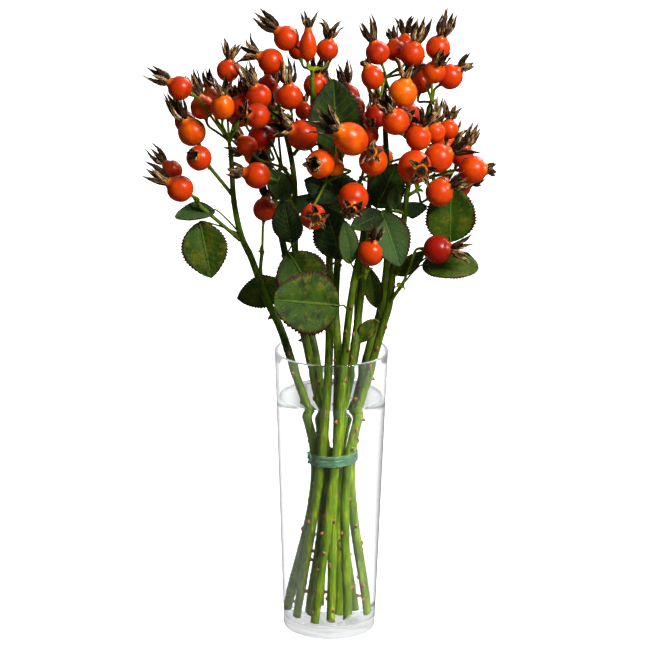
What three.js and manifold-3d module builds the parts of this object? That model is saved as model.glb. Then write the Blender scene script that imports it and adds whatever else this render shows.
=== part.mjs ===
// A bunch of cut rose hip sprigs, tied with raffia and standing in a tapered glass vase of water.
// Millimetres, +Z up. The origin is the centre of the vase's underside and -Y is the front.
import * as THREE from 'three';
import { mergeVertices } from 'three/addons/utils/BufferGeometryUtils.js';
import Module from 'manifold-3d';

const wasm = await Module();
wasm.setup();

// Driving dimensions
const VASE_HEIGHT = 233;
const RIM_RADIUS = 45;
const BASE_RADIUS = 36.5;
const WALL = 2.2;
const FLOOR_THICKNESS = 10;
const BASE_EDGE = 3;
const WATER_LEVEL = 194;
const TIE_LEVEL = 151;
const TIE_HEIGHT = 10;
const TIE_THICKNESS = 1.8;
const GAP = 0.3;

// The grip: seven outer canes round three inner ones, leaning to the front of the vase
const CANE_RADIUS = 3.3;
const GRIP_CENTRE = [2, -19];
const OUTER_GRIP = 12.5;
const INNER_GRIP = 5;
const FOOT_LEVEL = 12.5;
const TIE_RADIUS = OUTER_GRIP + CANE_RADIUS + 0.5;

const STALK_RADIUS = 1.6;
const PEDICEL_RADIUS = 1.1;
const KNUCKLE_RADIUS = 2.4;
const KNOT_RADIUS = 3.8;
const LEAF_THICKNESS = 1.2;
const LEAF_STALK_RADIUS = 1;
const LEAF_FOLD = 0.18;
const LEAF_CURL = 0.12;

const VASE_SIDES = 28;
const CANE_SIDES = 6;
const TWIG_SIDES = 4;
const HIP_SIDES = 6;

const LOOKS = {
  glass: { color: 0xeef4f2, roughness: 0.03, metalness: 0, transparent: true, opacity: 0.25 },
  water: { color: 0xe6f0ea, roughness: 0.02, metalness: 0, transparent: true, opacity: 0.3 },
  raffia: { color: 0x6f9a72, roughness: 0.8, metalness: 0 },
  bark: { color: 0x7f9a34, roughness: 0.6, metalness: 0 },
  hip: { color: 0xd4400f, roughness: 0.3, metalness: 0 },
  leaf: { color: 0x4c6a1c, roughness: 0.6, metalness: 0 },
};

// Canes: foot on the floor, angle round the grip, place at the mouth, then the route upwards
const CANES = [
  { name: 'cane_left', foot: [-26, 3], grip: 175, mouth: [-33, -18],
    route: [[-41, -9, 254], [-52, -4, 276], [-64, -8, 311], [-71, -10, 327], [-77, -10, 355],
      [-79, -8, 383], [-80, -8, 399]] },
  { name: 'cane_front_left', foot: [-12, -3], grip: 180, mouth: [-18, -14], inner: true,
    route: [[-24, -27, 265], [-29, -24, 320], [-29, -20, 353], [-31, -18, 385], [-35, -15, 405],
      [-40, -12, 423]] },
  { name: 'cane_front', foot: [-11, -27], grip: 278, mouth: [10, -33],
    route: [[14, -36, 277], [18, -35, 305], [24, -34, 339], [23, -35, 363], [22, -36, 379]] },
  { name: 'cane_right', foot: [13, -20], grip: 329, mouth: [34, -17],
    route: [[40, -16, 256], [45, -18, 275], [48, -20, 305], [55, -21, 339], [58, -21, 367],
      [62, -17, 391], [64, -14, 403]] },
  { name: 'cane_right_rear', foot: [25, -4], grip: 20, mouth: [30, 2],
    route: [[39, 16, 261], [43, 16, 293], [45, 14, 333], [43, 8, 373], [41, 6, 408], [40, 6, 433],
      [40, 4, 449]] },
  { name: 'cane_rear', foot: [12, 12], grip: 72, mouth: [20, 14],
    route: [[23, 37, 283], [42, 34, 333], [58, 29, 373], [70, 22, 405], [75, 10, 427]] },
  { name: 'cane_left_rear', foot: [-6, 15], grip: 123, mouth: [-14, 8],
    route: [[-33, 36, 283], [-44, 40, 333], [-50, 38, 373], [-54, 34, 399]] },
  { name: 'cane_centre', foot: [-23, -13], grip: 226, mouth: [-2, -24],
    route: [[-2, -9, 303], [-4, -11, 353], [-9, -12, 398], [-14, -13, 428], [-17, -11, 457]] },
  { name: 'cane_centre_rear', foot: [5, -1], grip: 60, mouth: [5, -3], inner: true,
    route: [[3, 8, 266], [5, 16, 313], [7, 26, 353], [6, 36, 387]] },
  { name: 'cane_centre_right', foot: [1, -29], grip: 300, mouth: [17, -20], inner: true,
    route: [[21, -8, 261], [24, -8, 293], [27, -7, 333], [29, -6, 373], [28, -4, 407]] },
];

// Trusses: the point on the cane, the knuckle, and each hip as centre, radius, height ratio and crown way
const TRUSSES = [
  { name: 'truss_left_top', from: [-80, -8, 395], knuckle: [-81, -8, 405], hips: [
    { at: [-119, -22, 451], radius: 9.5, crown: [-0.87, 0, 0.5] },
    { at: [-102, -8, 432], radius: 9.5, crown: [-0.3, 0, 0.95] },
    { at: [-96, 13, 434], radius: 8, crown: [-0.25, 0.3, 1] },
    { at: [-82, -5, 461], radius: 9, crown: [0.15, 0, 1] },
    { at: [-86, -25, 437], radius: 9.5, tall: 1.12, crown: [0, -0.3, 1] },
    { at: [-76, 11, 435], radius: 7.2, crown: [-0.1, -0.7, 0.7] },
    { at: [-72, -8, 432], radius: 9.8, crown: [0.2, 0.2, 1] },
    { at: [-68, 26, 439], radius: 6.5, crown: [0.2, 0.3, 1] }] },
  { name: 'truss_left_branch', from: [-78, -9, 361], knuckle: [-98, -12, 387], hips: [
    { at: [-116, 12, 415], radius: 8.5, crown: [-0.5, 0.3, 0.8] },
    { at: [-110, -12, 413], radius: 11, crown: [-0.5, 0, 0.85] },
    { at: [-104, -30, 397], radius: 10, crown: [-0.3, -0.8, 0.4] }] },
  { name: 'truss_left_low', from: [-72, -10, 325], knuckle: [-105, -18, 356], hips: [
    { at: [-119, -22, 370], radius: 10.5, crown: [-0.85, 0, 0.5] },
    { at: [-126, 2, 378], radius: 8.2, crown: [-0.7, 0.2, 0.7] }] },
  { name: 'truss_left_shoot', from: [-55, -5, 287], knuckle: [-55, -6, 315], hips: [
    { at: [-53, -8, 350], radius: 9.4, crown: [0.1, 0.1, 1] }] },
  { name: 'truss_upper_left', from: [-39, -12, 419], knuckle: [-44, -12, 430], hips: [
    { at: [-58, -16, 443], radius: 10, crown: [-0.4, -0.1, 0.9] },
    { at: [-59, -41, 434], radius: 10, crown: [-0.75, -0.6, 0.3] },
    { at: [-49, -10, 470], radius: 10, crown: [-0.9, 0, 0.4] },
    { at: [-52, 10, 445], radius: 8, crown: [0.1, 0.4, 0.9] },
    { at: [-34, -12, 442], radius: 10.3, crown: [-0.1, 0, 1] }] },
  { name: 'truss_middle_left', from: [-30, -18, 375], knuckle: [-40, -18, 387], hips: [
    { at: [-67, -12, 402], radius: 8.2, crown: [-0.6, 0.5, 0.6] },
    { at: [-59, -36, 385], radius: 10.5, crown: [-0.95, -0.1, 0.25] },
    { at: [-56, 10, 403], radius: 11, crown: [0, -0.6, -0.8] },
    { at: [-46, 7, 424], radius: 7, crown: [-0.2, 0.3, 0.9] }] },
  { name: 'truss_middle', from: [-33, -16, 395], knuckle: [-27, -15, 401], hips: [
    { at: [-24, -34, 417], radius: 12, crown: [-0.8, -0.4, 0.45] },
    { at: [-29, 6, 408], radius: 8.6, crown: [-0.5, 0.5, 0.6] },
    { at: [-23, 2, 427], radius: 6.8, crown: [0, 0.2, 1] }] },
  { name: 'truss_summit', from: [-17, -11, 453], knuckle: [-17, -11, 463], hips: [
    { at: [-37, -5, 487], radius: 10, crown: [-0.75, 0, 0.65] },
    { at: [-20, -14, 484], radius: 7.5, tall: 1.7, crown: [0, 0, 1] },
    { at: [-28, 13, 473], radius: 7.5, crown: [-0.3, 0.4, 0.8] },
    { at: [-5, 0, 477], radius: 8.7, crown: [0.15, 0, 1] },
    { at: [-14, 9, 446], radius: 9.6, crown: [0.2, 0, 1] }] },
  { name: 'truss_front_middle', from: [-6, -13, 369], knuckle: [-5, -30, 379], hips: [
    { at: [-10, -56, 400], radius: 11.3, crown: [-0.3, -0.9, 0.25] },
    { at: [1, -39, 393], radius: 7, tall: 1.15, crown: [-0.85, -0.3, 0.3] },
    { at: [-15, -68, 361], radius: 10.2, crown: [0.2, -0.95, 0.2] }] },
  { name: 'truss_front_right', from: [22, -35, 375], knuckle: [22, -37, 383], hips: [
    { at: [13, -58, 421], radius: 12.8, tall: 1.2, crown: [-0.65, -0.45, 0.6] },
    { at: [31, -51, 401], radius: 11.3, crown: [-0.1, -0.7, 0.7] },
    { at: [16, -66, 376], radius: 11.7, crown: [-0.1, -0.9, -0.4] },
    { at: [29, -27, 415], radius: 6.6, crown: [0, 0.2, 1] }] },
  { name: 'truss_front_low', from: [20, -36, 303], knuckle: [27, -39, 309], hips: [
    { at: [30, -42, 325], radius: 10.5, crown: [0.25, 0, 0.9] }] },
  { name: 'truss_inner_right', from: [28, -4, 403], knuckle: [28, -4, 411], hips: [
    { at: [15, 2, 430], radius: 10, crown: [-0.5, 0, 0.85] },
    { at: [34, -10, 427], radius: 9.5, crown: [0, 0, 1] },
    { at: [12, 26, 433], radius: 9.2, crown: [-0.2, 0.4, 0.9] }] },
  { name: 'truss_upper_right', from: [40, 5, 445], knuckle: [40, 3, 454], hips: [
    { at: [34, -5, 476], radius: 9.5, crown: [-0.35, 0, 0.95] },
    { at: [30, -19, 460], radius: 9, tall: 1.1, crown: [-0.4, 0, 0.9] },
    { at: [48, 15, 473], radius: 8.5, crown: [-0.2, 0.2, 0.95] },
    { at: [56, 32, 473], radius: 8.5, crown: [0, 0.2, 1] },
    { at: [61, -5, 475], radius: 10, crown: [0.3, 0, 0.9] },
    { at: [54, -9, 445], radius: 11.5, crown: [0.2, 0, 0.95] }] },
  { name: 'truss_far_right_top', from: [74, 12, 423], knuckle: [77, 5, 434], hips: [
    { at: [81, 0, 479], radius: 9.8, crown: [0.3, 0, 0.95] },
    { at: [78, -14, 463], radius: 9, crown: [0.35, -0.4, 0.8] },
    { at: [91, 4, 455], radius: 10, crown: [0.75, 0, 0.65] },
    { at: [68, 18, 447], radius: 9.3, crown: [0.1, 0.2, 1] }] },
  { name: 'truss_right_top', from: [64, -14, 399], knuckle: [65, -13, 405], hips: [
    { at: [55, -14, 422], radius: 10.2, crown: [0.2, -0.8, 0.6] },
    { at: [66, -35, 416], radius: 10, crown: [0.4, 0, 0.9] },
    { at: [48, -39, 430], radius: 10.8, crown: [-0.4, -0.4, 0.8] },
    { at: [79, -11, 414], radius: 8.6, crown: [0.1, -0.1, 1] },
    { at: [90, 6, 412], radius: 8, crown: [0.15, 0, 1] }] },
  { name: 'truss_right_front', from: [58, -21, 365], knuckle: [66, -24, 371], hips: [
    { at: [63, -52, 397], radius: 13.3, crown: [0.3, -0.95, 0.1] },
    { at: [82, -29, 398], radius: 11.6, crown: [0.85, 0, 0.5] },
    { at: [83, -35, 372], radius: 11, crown: [0.8, -0.2, 0.5] }] },
  { name: 'truss_right_side', from: [59, -19, 375], knuckle: [78, -7, 377], hips: [
    { at: [101, 6, 391], radius: 9.4, crown: [0.45, 0, 0.9] },
    { at: [109, -22, 387], radius: 11.2, crown: [0.95, -0.2, 0.1] },
    { at: [100, -6, 369], radius: 8.6, crown: [0.8, 0, 0.3] },
    { at: [86, 11, 365], radius: 7.2, crown: [0.3, 0.6, 0.5] }] },
  { name: 'truss_right_low', from: [45, -18, 275], knuckle: [55, -29, 295], hips: [
    { at: [82, -45, 329], radius: 11.3, crown: [0.9, -0.35, 0.1] }] },
  { name: 'truss_rear_right', from: [60, 28, 377], knuckle: [64, 36, 383], hips: [
    { at: [60, 52, 411], radius: 10, crown: [0, 0.5, 0.9] },
    { at: [88, 44, 387], radius: 9.6, crown: [0.7, 0.4, 0.4] },
    { at: [38, 76, 369], radius: 10.4, crown: [0.1, 1, 0.1] }] },
  { name: 'truss_rear_middle', from: [6, 35, 383], knuckle: [6, 38, 391], hips: [
    { at: [-5, 54, 419], radius: 10, crown: [-0.2, 0.3, 0.9] },
    { at: [26, 58, 401], radius: 10.8, crown: [0.4, 0.8, 0.4] },
    { at: [0, 74, 375], radius: 10.4, crown: [0, 1, -0.1] },
    { at: [-22, 52, 391], radius: 9.4, crown: [-0.4, 0.7, 0.5] }] },
  { name: 'truss_rear_left', from: [-54, 34, 395], knuckle: [-55, 36, 403], hips: [
    { at: [-74, 50, 411], radius: 10, crown: [-0.5, 0.5, 0.7] },
    { at: [-48, 64, 399], radius: 10.6, crown: [0.1, 0.9, 0.4] },
    { at: [-62, 78, 371], radius: 9.4, crown: [-0.9, 0.3, 0.2] },
    { at: [-48, 40, 429], radius: 9.6, crown: [0.1, 0.2, 1] }] },
];

// Leaves: root of the leaf stalk, foot and tip of the midrib, width, and the way the upper face looks
const LEAVES = [
  { name: 'leaf_middle_large', root: [-4, -11, 353], foot: [2, -24, 401], tip: [0, -27, 460],
    width: 44, face: [0.1, -1, 0.1] },
  { name: 'leaf_left', root: [-72, -10, 330], foot: [-104, -14, 341], tip: [-95, -24, 298],
    width: 37, face: [-0.1, -1, 0.2] },
  { name: 'leaf_left_edge', root: [-72, -10, 330], foot: [-92, -14, 351], tip: [-123, -20, 347],
    width: 22, face: [0, -0.45, 1] },
  { name: 'leaf_grey_left', root: [-29, -20, 353], foot: [-34, -26, 363], tip: [-50, -32, 389],
    width: 20, face: [0.2, -1, 0.1] },
  { name: 'leaf_dark_left', root: [-29, -24, 318], foot: [-32, -34, 329], tip: [-38, -40, 366],
    width: 25, face: [-0.2, -1, 0] },
  { name: 'leaf_dark_middle', root: [-4, -11, 353], foot: [6, -26, 365], tip: [-22, -34, 381],
    width: 24, face: [0, -1, 0.2] },
  { name: 'leaf_front_dark', root: [-2, -9, 303], foot: [7, -36, 317], tip: [-6, -46, 363],
    width: 32, face: [-0.1, -1, 0.1] },
  { name: 'leaf_front_grey', root: [18, -35, 305], foot: [15, -40, 315], tip: [9, -52, 353],
    width: 18, face: [0.5, -1, 0] },
  { name: 'leaf_front_behind', root: [-29, -24, 328], foot: [-34, -36, 323], tip: [-12, -40, 286],
    width: 42, face: [-0.1, -1, 0.2] },
  { name: 'leaf_front_large', root: [12, -36, 277], foot: [7, -43, 282], tip: [-44, -72, 295],
    width: 50, face: [-0.2, -1, 0.3] },
  { name: 'leaf_front_olive', root: [-26, -26, 285], foot: [-37, 0, 285], tip: [-75, 4, 273],
    width: 26, face: [0.1, -1, 0.3] },
  { name: 'leaf_right', root: [59, -33, 307], foot: [92, -20, 327], tip: [92, -22, 373],
    width: 40, face: [0.1, -1, 0] },
  { name: 'leaf_right_low', root: [55, -29, 295], foot: [70, -34, 313], tip: [114, -42, 314],
    width: 30, face: [0, -0.7, 1] },
  { name: 'leaf_right_middle', root: [57, -21, 350], foot: [38, -34, 356], tip: [53, -46, 315],
    width: 31, face: [0.2, -1, 0] },
  { name: 'leaf_node_dark', root: [57, -21, 350], foot: [40, -34, 355], tip: [14, -44, 345],
    width: 18, face: [0, -1, 0.6] },
  { name: 'leaf_narrow', root: [48, -20, 298], foot: [50, -24, 301], tip: [72, -34, 324],
    width: 13, face: [0, -1, 0.3] },
  { name: 'leaf_behind_canes', root: [40, -16, 256], foot: [36, -6, 269], tip: [28, -4, 303],
    width: 15, face: [0, -1, 0] },
  { name: 'leaf_small_front', root: [40, -16, 256], foot: [33, -14, 262], tip: [22, -16, 243],
    width: 13, face: [0, -1, 0.2] },
  { name: 'leaf_pale_small', root: [57, -21, 350], foot: [46, -34, 357], tip: [49, -38, 378],
    width: 13, face: [0, -1, 0] },
  { name: 'leaf_inner_right', root: [27, -7, 333], foot: [34, -16, 353], tip: [50, -20, 391],
    width: 30, face: [0.1, -1, 0] },
  { name: 'leaf_inner_middle', root: [26, -7, 333], foot: [16, -14, 345], tip: [-2, -20, 385],
    width: 34, face: [0, -1, 0] },
  { name: 'leaf_rear_left', root: [-43, 39, 330], foot: [-32, 48, 345], tip: [-30, 84, 318],
    width: 32, face: [-0.2, 1, 0.4] },
  { name: 'leaf_rear_middle', root: [5, 16, 320], foot: [7, 34, 343], tip: [-8, 72, 327],
    width: 42, face: [0, 0.6, 1] },
  { name: 'leaf_rear_right', root: [42, 34, 333], foot: [48, 40, 343], tip: [64, 76, 321],
    width: 40, face: [0.2, 0.7, 1] },
];

const UP = new THREE.Vector3(0, 0, 1);
const vector = ([x, y, z]) => new THREE.Vector3(x, y, z);
const along = (start, end, share) => vector(start).lerp(vector(end), share);

function toSolid(geometry) {
  geometry.deleteAttribute('normal');
  geometry.deleteAttribute('uv');
  const merged = mergeVertices(geometry, 1e-4);
  const corners = Array.from(merged.index.array);
  const kept = [];
  for (let i = 0; i < corners.length; i += 3) {
    const [a, b, c] = corners.slice(i, i + 3);
    if (a !== b && b !== c && c !== a) kept.push(a, b, c);
  }
  const vertProperties = new Float32Array(merged.attributes.position.array);
  const mesh = new wasm.Mesh({ numProp: 3, vertProperties, triVerts: new Uint32Array(kept) });
  return new wasm.Manifold(mesh);
}

function toGeometry(solid) {
  const { vertProperties, triVerts } = solid.getMesh();
  const geometry = new THREE.BufferGeometry();
  geometry.setAttribute('position', new THREE.BufferAttribute(new Float32Array(vertProperties), 3));
  geometry.setIndex(new THREE.BufferAttribute(new Uint32Array(triVerts), 1));
  geometry.computeVertexNormals();
  return geometry;
}

const join = (solids) => solids.reduce((whole, solid) => whole.add(solid));

function largestPiece(solid) {
  const pieces = solid.decompose();
  return pieces.reduce((best, piece) => (piece.volume() > best.volume() ? piece : best));
}

// A round bar along a smooth curve through the points
function bar(points, radius, sides, steps) {
  const corners = [];
  for (let i = 0; i < sides; i += 1) {
    const turn = (i / sides) * 2 * Math.PI;
    corners.push(new THREE.Vector2(radius * Math.cos(turn), radius * Math.sin(turn)));
  }
  const extrudePath = new THREE.CatmullRomCurve3(points, false, 'centripetal');
  const settings = { steps, extrudePath, bevelEnabled: false };
  return toSolid(new THREE.ExtrudeGeometry(new THREE.Shape(corners), settings));
}

// A turned solid about +Z from a profile of [radius, height] pairs
function turned(profile, sides) {
  const points = profile.map(([radius, height]) => new THREE.Vector2(radius, height));
  return new THREE.LatheGeometry(points, sides).rotateX(Math.PI / 2);
}

const outerRadius = (z) => BASE_RADIUS + ((RIM_RADIUS - BASE_RADIUS) * z) / VASE_HEIGHT;
const innerRadius = (z) => outerRadius(z) - WALL;

function vase() {
  const lip = WALL / 2;
  const inside = FLOOR_THICKNESS + BASE_EDGE;
  return toSolid(turned([
    [0, 0], [BASE_RADIUS - BASE_EDGE, 0], [outerRadius(0.8) - 0.8, 0.8], [outerRadius(BASE_EDGE), BASE_EDGE],
    [outerRadius(VASE_HEIGHT - lip), VASE_HEIGHT - lip], [RIM_RADIUS - lip, VASE_HEIGHT],
    [innerRadius(VASE_HEIGHT - lip), VASE_HEIGHT - lip], [innerRadius(inside), inside],
    [innerRadius(FLOOR_THICKNESS) - BASE_EDGE, FLOOR_THICKNESS], [0, FLOOR_THICKNESS],
  ], VASE_SIDES));
}

function waterBody() {
  const bottom = FLOOR_THICKNESS + GAP;
  const corner = FLOOR_THICKNESS + BASE_EDGE;
  return toSolid(turned([
    [0, bottom], [innerRadius(corner) - BASE_EDGE - GAP, bottom], [innerRadius(corner) - GAP, corner + GAP],
    [innerRadius(WATER_LEVEL) - GAP, WATER_LEVEL], [0, WATER_LEVEL],
  ], VASE_SIDES));
}

// The band of raffia round the canes, with its knot at the front left
function tie(grow) {
  const inner = TIE_RADIUS - grow;
  const outer = TIE_RADIUS + TIE_THICKNESS + grow;
  const half = TIE_HEIGHT / 2 + grow;
  const profile = [[inner, -half], [outer, -half + 1], [outer, half - 1], [inner, half], [inner, -half]];
  const band = toSolid(turned(profile, VASE_SIDES / 2).translate(...GRIP_CENTRE, TIE_LEVEL));
  const knot = new THREE.SphereGeometry(KNOT_RADIUS + grow, 7, 5);
  const [x, y] = GRIP_CENTRE;
  knot.translate(x - 0.94 * (TIE_RADIUS + 1), y - 0.34 * (TIE_RADIUS + 1), TIE_LEVEL);
  return join([band, toSolid(knot)]);
}

function gripRoute({ foot, grip, mouth, inner }) {
  const turn = THREE.MathUtils.degToRad(grip);
  const reach = inner ? INNER_GRIP : OUTER_GRIP;
  const [x, y] = GRIP_CENTRE;
  return [new THREE.Vector3(...foot, FOOT_LEVEL),
    new THREE.Vector3(x + reach * Math.cos(turn), y + reach * Math.sin(turn), TIE_LEVEL),
    new THREE.Vector3(...mouth, VASE_HEIGHT)];
}

function cane(design, grow) {
  const points = [...gripRoute(design), ...design.route.map(vector)];
  return bar(points, CANE_RADIUS + grow, CANE_SIDES, points.length);
}

// A hip swells from its stalk to its shoulder and ends in a dry crown
function hip({ at, radius, tall = 1, crown }, grow) {
  const r = radius + grow;
  const h = radius * tall + grow;
  const skin = turned([[0, -h], [0.62 * r, -0.78 * h], [r, -0.1 * h], [0.78 * r, 0.66 * h],
    [0.4 * r, 1.1 * h], [0, 1.5 * h]], HIP_SIDES);
  const turn = new THREE.Quaternion().setFromUnitVectors(UP, vector(crown).normalize());
  return toSolid(skin.applyQuaternion(turn).translate(...at));
}

function pedicel(knuckle, { at, radius, tall = 1, crown }, grow) {
  const way = vector(crown).normalize();
  const end = vector(at).addScaledVector(way, -0.8 * radius * tall);
  const bend = vector(at).addScaledVector(way, -radius * tall - 6);
  const start = vector(knuckle);
  const middle = start.clone().lerp(bend, 0.55);
  return bar([start, middle, bend, end], PEDICEL_RADIUS + grow, TWIG_SIDES, 4);
}

function truss({ from, knuckle, hips }, grow) {
  const lump = new THREE.SphereGeometry(KNUCKLE_RADIUS + grow, 5, 3).translate(...knuckle);
  const route = [vector(from), along(from, knuckle, 0.5), vector(knuckle)];
  const stalk = bar(route, STALK_RADIUS + grow, TWIG_SIDES, 2);
  const fruits = hips.flatMap((one) => [pedicel(knuckle, one, grow), hip(one, grow)]);
  return join([toSolid(lump), stalk, ...fruits]);
}

// A blade folded a little along its midrib and curled down at its tip
function blade({ foot, tip, width, face }, grow) {
  const spine = vector(tip).sub(vector(foot));
  const length = spine.length();
  const slab = new THREE.BoxGeometry(width + 2 * grow, length + 2 * grow, LEAF_THICKNESS + 2 * grow, 2, 5, 1);
  const places = slab.attributes.position;
  for (let i = 0; i < places.count; i += 1) {
    const share = THREE.MathUtils.clamp(places.getY(i) / length + 0.5, 0, 1);
    const swell = Math.max(0.1, Math.sin(Math.PI * share ** 0.85));
    const x = places.getX(i) * swell;
    const lift = LEAF_FOLD * Math.abs(x) - LEAF_CURL * length * (share - 0.5) ** 2;
    places.setXYZ(i, x, places.getY(i), places.getZ(i) + lift);
  }
  const up = spine.clone().normalize();
  const right = up.clone().cross(vector(face)).normalize();
  const turn = new THREE.Matrix4().makeBasis(right, up, right.clone().cross(up));
  return toSolid(slab.applyMatrix4(turn).translate(...along(foot, tip, 0.5)));
}

function leaf(design, grow) {
  const { root, foot, tip } = design;
  const stalk = [vector(root), along(root, foot, 0.6), vector(foot), along(foot, tip, 0.15)];
  return join([blade(design, grow), bar(stalk, LEAF_STALK_RADIUS + grow, TWIG_SIDES, 3)]);
}

const placed = [];

const apart = (a, b) => [0, 1, 2].some((i) => a.max[i] < b.min[i] || b.max[i] < a.min[i]);

// Cuts a new piece back from every piece it would touch, and keeps its main body
function place(build) {
  let solid = build(0);
  const box = solid.boundingBox();
  for (const other of placed) {
    if (!apart(box, other.box)) solid = solid.subtract(other.grown);
  }
  const grown = build(GAP);
  placed.push({ grown, box: grown.boundingBox() });
  return largestPiece(solid);
}

const sprigs = new THREE.Group();

function addPart(name, solid, look) {
  const mesh = new THREE.Mesh(toGeometry(solid), new THREE.MeshStandardMaterial(LOOKS[look]));
  mesh.name = name;
  sprigs.add(mesh);
}

addPart('vase', vase(), 'glass');
for (const design of CANES) addPart(design.name, place((grow) => cane(design, grow)), 'bark');
addPart('tie', place(tie), 'raffia');
const submerged = placed.reduce((water, piece) => water.subtract(piece.grown), waterBody());
for (const design of TRUSSES) addPart(design.name, place((grow) => truss(design, grow)), 'hip');
for (const design of LEAVES) addPart(design.name, place((grow) => leaf(design, grow)), 'leaf');
addPart('water', largestPiece(submerged), 'water');

export default sprigs;
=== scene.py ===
"""Looks of a bunch of rose hip sprigs, tied with raffia and standing in a glass vase of water.

Lengths in the layout are millimetres, as they are in the model; everything that is built is in metres.
"""

import logging
import math
from dataclasses import dataclass, field
from enum import Enum
from functools import cached_property

import bpy
import numpy as np
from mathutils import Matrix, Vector, noise


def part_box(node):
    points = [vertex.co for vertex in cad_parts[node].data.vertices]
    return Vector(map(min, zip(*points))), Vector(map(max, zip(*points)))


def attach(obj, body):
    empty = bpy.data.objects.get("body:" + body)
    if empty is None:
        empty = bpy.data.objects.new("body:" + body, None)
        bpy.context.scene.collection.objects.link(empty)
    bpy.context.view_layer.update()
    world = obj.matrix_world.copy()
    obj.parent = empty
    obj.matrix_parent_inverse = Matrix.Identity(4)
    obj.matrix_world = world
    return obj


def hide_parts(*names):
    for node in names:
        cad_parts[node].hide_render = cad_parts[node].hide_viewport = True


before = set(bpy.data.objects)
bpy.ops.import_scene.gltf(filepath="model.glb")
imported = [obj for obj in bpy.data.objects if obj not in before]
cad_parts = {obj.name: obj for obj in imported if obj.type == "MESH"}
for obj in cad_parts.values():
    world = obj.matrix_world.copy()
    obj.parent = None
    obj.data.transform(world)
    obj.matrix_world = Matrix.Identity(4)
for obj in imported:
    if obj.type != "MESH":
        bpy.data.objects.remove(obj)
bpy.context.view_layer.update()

LOG = logging.getLogger("rose_hips")
BODY = "root"
MM = 0.001
UP = np.array((0.0, 0.0, 1.0))
Triple = tuple[float, float, float]


# ---------------------------------------------------------------- layout, shared with the model

class Calyx(Enum):
    """How dry sepals stand: length in hip radii, angles at foot, middle and tip in degrees, and count."""

    CLOSED = (2.0, 30, 2, 10, 6)
    SPLAYED = (1.7, 34, 26, 62, 6)
    CURLED = (1.9, 34, 34, 112, 5)
    SHORT = (1.2, 32, 8, 24, 6)
    DISC = (0.75, 66, 88, 112, 5)
    STUB = (0.45, 24, 20, 30, 5)

    @property
    def length(self) -> float:
        """Sepal length in hip radii."""
        return self.value[0]

    @property
    def count(self) -> int:
        """How many sepals are left."""
        return self.value[4]

    def angle(self, share: float) -> float:
        """Works out how far a sepal leans out.

        Args:
            share: how far up the sepal, from 0 to 1.

        Returns:
            The angle from the crown's axis, in radians.
        """
        foot, middle, tip = self.value[1:4]
        lower, upper = (1 - share) * (1 - 2 * share), share * (2 * share - 1)
        return math.radians(lower * foot + 4 * share * (1 - share) * middle + upper * tip)


@dataclass(frozen=True)
class Hip:
    """One hip: centre, radius, crown's way, ripeness (0 orange, 1 dark red), calyx and height ratio."""

    at: Triple
    radius: float
    crown: Triple
    tone: float
    calyx: Calyx
    tall: float = 1.0


@dataclass(frozen=True)
class Truss:
    """A stalk from a cane to a knuckle, and the hips that hang on pedicels from the knuckle."""

    name: str
    start: Triple
    knuckle: Triple
    hips: list[Hip]


@dataclass(frozen=True)
class Cane:
    """A cane: its foot, its angle round the grip in degrees, its place at the mouth and its route upwards."""

    name: str
    foot: tuple[float, float]
    grip: float
    mouth: tuple[float, float]
    route: list[Triple]
    inner: bool = False


class LeafTone(Enum):
    """Colouring of a leaf: how light, how yellow and blotched, and how grey; the darkest tone also paints
    shade.
    """

    # The darkest tone is the leaves' own dark green and also painted shade, for leaves that lie in shadow,
    # such as leaf_front_dark.
    DARK_AND_SHADED = (0.12, 0.15, 0.1)
    GREEN = (0.36, 0.7, 0.0)
    OLIVE = (0.52, 0.9, 0.0)
    GREY = (0.45, 0.1, 0.6)


@dataclass(frozen=True)
class Leaf:
    """A leaflet: root of its stalk, foot and tip of its midrib, width, face, colouring, fold and tip."""

    name: str
    root: Triple
    foot: Triple
    tip: Triple
    width: float
    face: Triple
    tone: LeafTone = LeafTone.DARK_AND_SHADED
    fold: float = 0.18
    blunt: bool = False


CANES = [
    Cane("cane_left", (-26, 3), 175, (-33, -18),
         route=[(-41, -9, 254), (-52, -4, 276), (-64, -8, 311), (-71, -10, 327), (-77, -10, 355),
                (-79, -8, 383), (-80, -8, 399)]),
    Cane("cane_front_left", (-12, -3), 180, (-18, -14), inner=True,
         route=[(-24, -27, 265), (-29, -24, 320), (-29, -20, 353), (-31, -18, 385), (-35, -15, 405),
                (-40, -12, 423)]),
    Cane("cane_front", (-11, -27), 278, (10, -33),
         route=[(14, -36, 277), (18, -35, 305), (24, -34, 339), (23, -35, 363), (22, -36, 379)]),
    Cane("cane_right", (13, -20), 329, (34, -17),
         route=[(40, -16, 256), (45, -18, 275), (48, -20, 305), (55, -21, 339), (58, -21, 367),
                (62, -17, 391), (64, -14, 403)]),
    Cane("cane_right_rear", (25, -4), 20, (30, 2),
         route=[(39, 16, 261), (43, 16, 293), (45, 14, 333), (43, 8, 373), (41, 6, 408), (40, 6, 433),
                (40, 4, 449)]),
    Cane("cane_rear", (12, 12), 72, (20, 14),
         route=[(23, 37, 283), (42, 34, 333), (58, 29, 373), (70, 22, 405), (75, 10, 427)]),
    Cane("cane_left_rear", (-6, 15), 123, (-14, 8),
         route=[(-33, 36, 283), (-44, 40, 333), (-50, 38, 373), (-54, 34, 399)]),
    Cane("cane_centre", (-23, -13), 226, (-2, -24),
         route=[(-2, -9, 303), (-4, -11, 353), (-9, -12, 398), (-14, -13, 428), (-17, -11, 457)]),
    Cane("cane_centre_rear", (5, -1), 60, (5, -3), inner=True,
         route=[(3, 8, 266), (5, 16, 313), (7, 26, 353), (6, 36, 387)]),
    Cane("cane_centre_right", (1, -29), 300, (17, -20), inner=True,
         route=[(21, -8, 261), (24, -8, 293), (27, -7, 333), (29, -6, 373), (28, -4, 407)]),
]

OUTER_CANES = sum(not cane.inner for cane in CANES)

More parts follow.
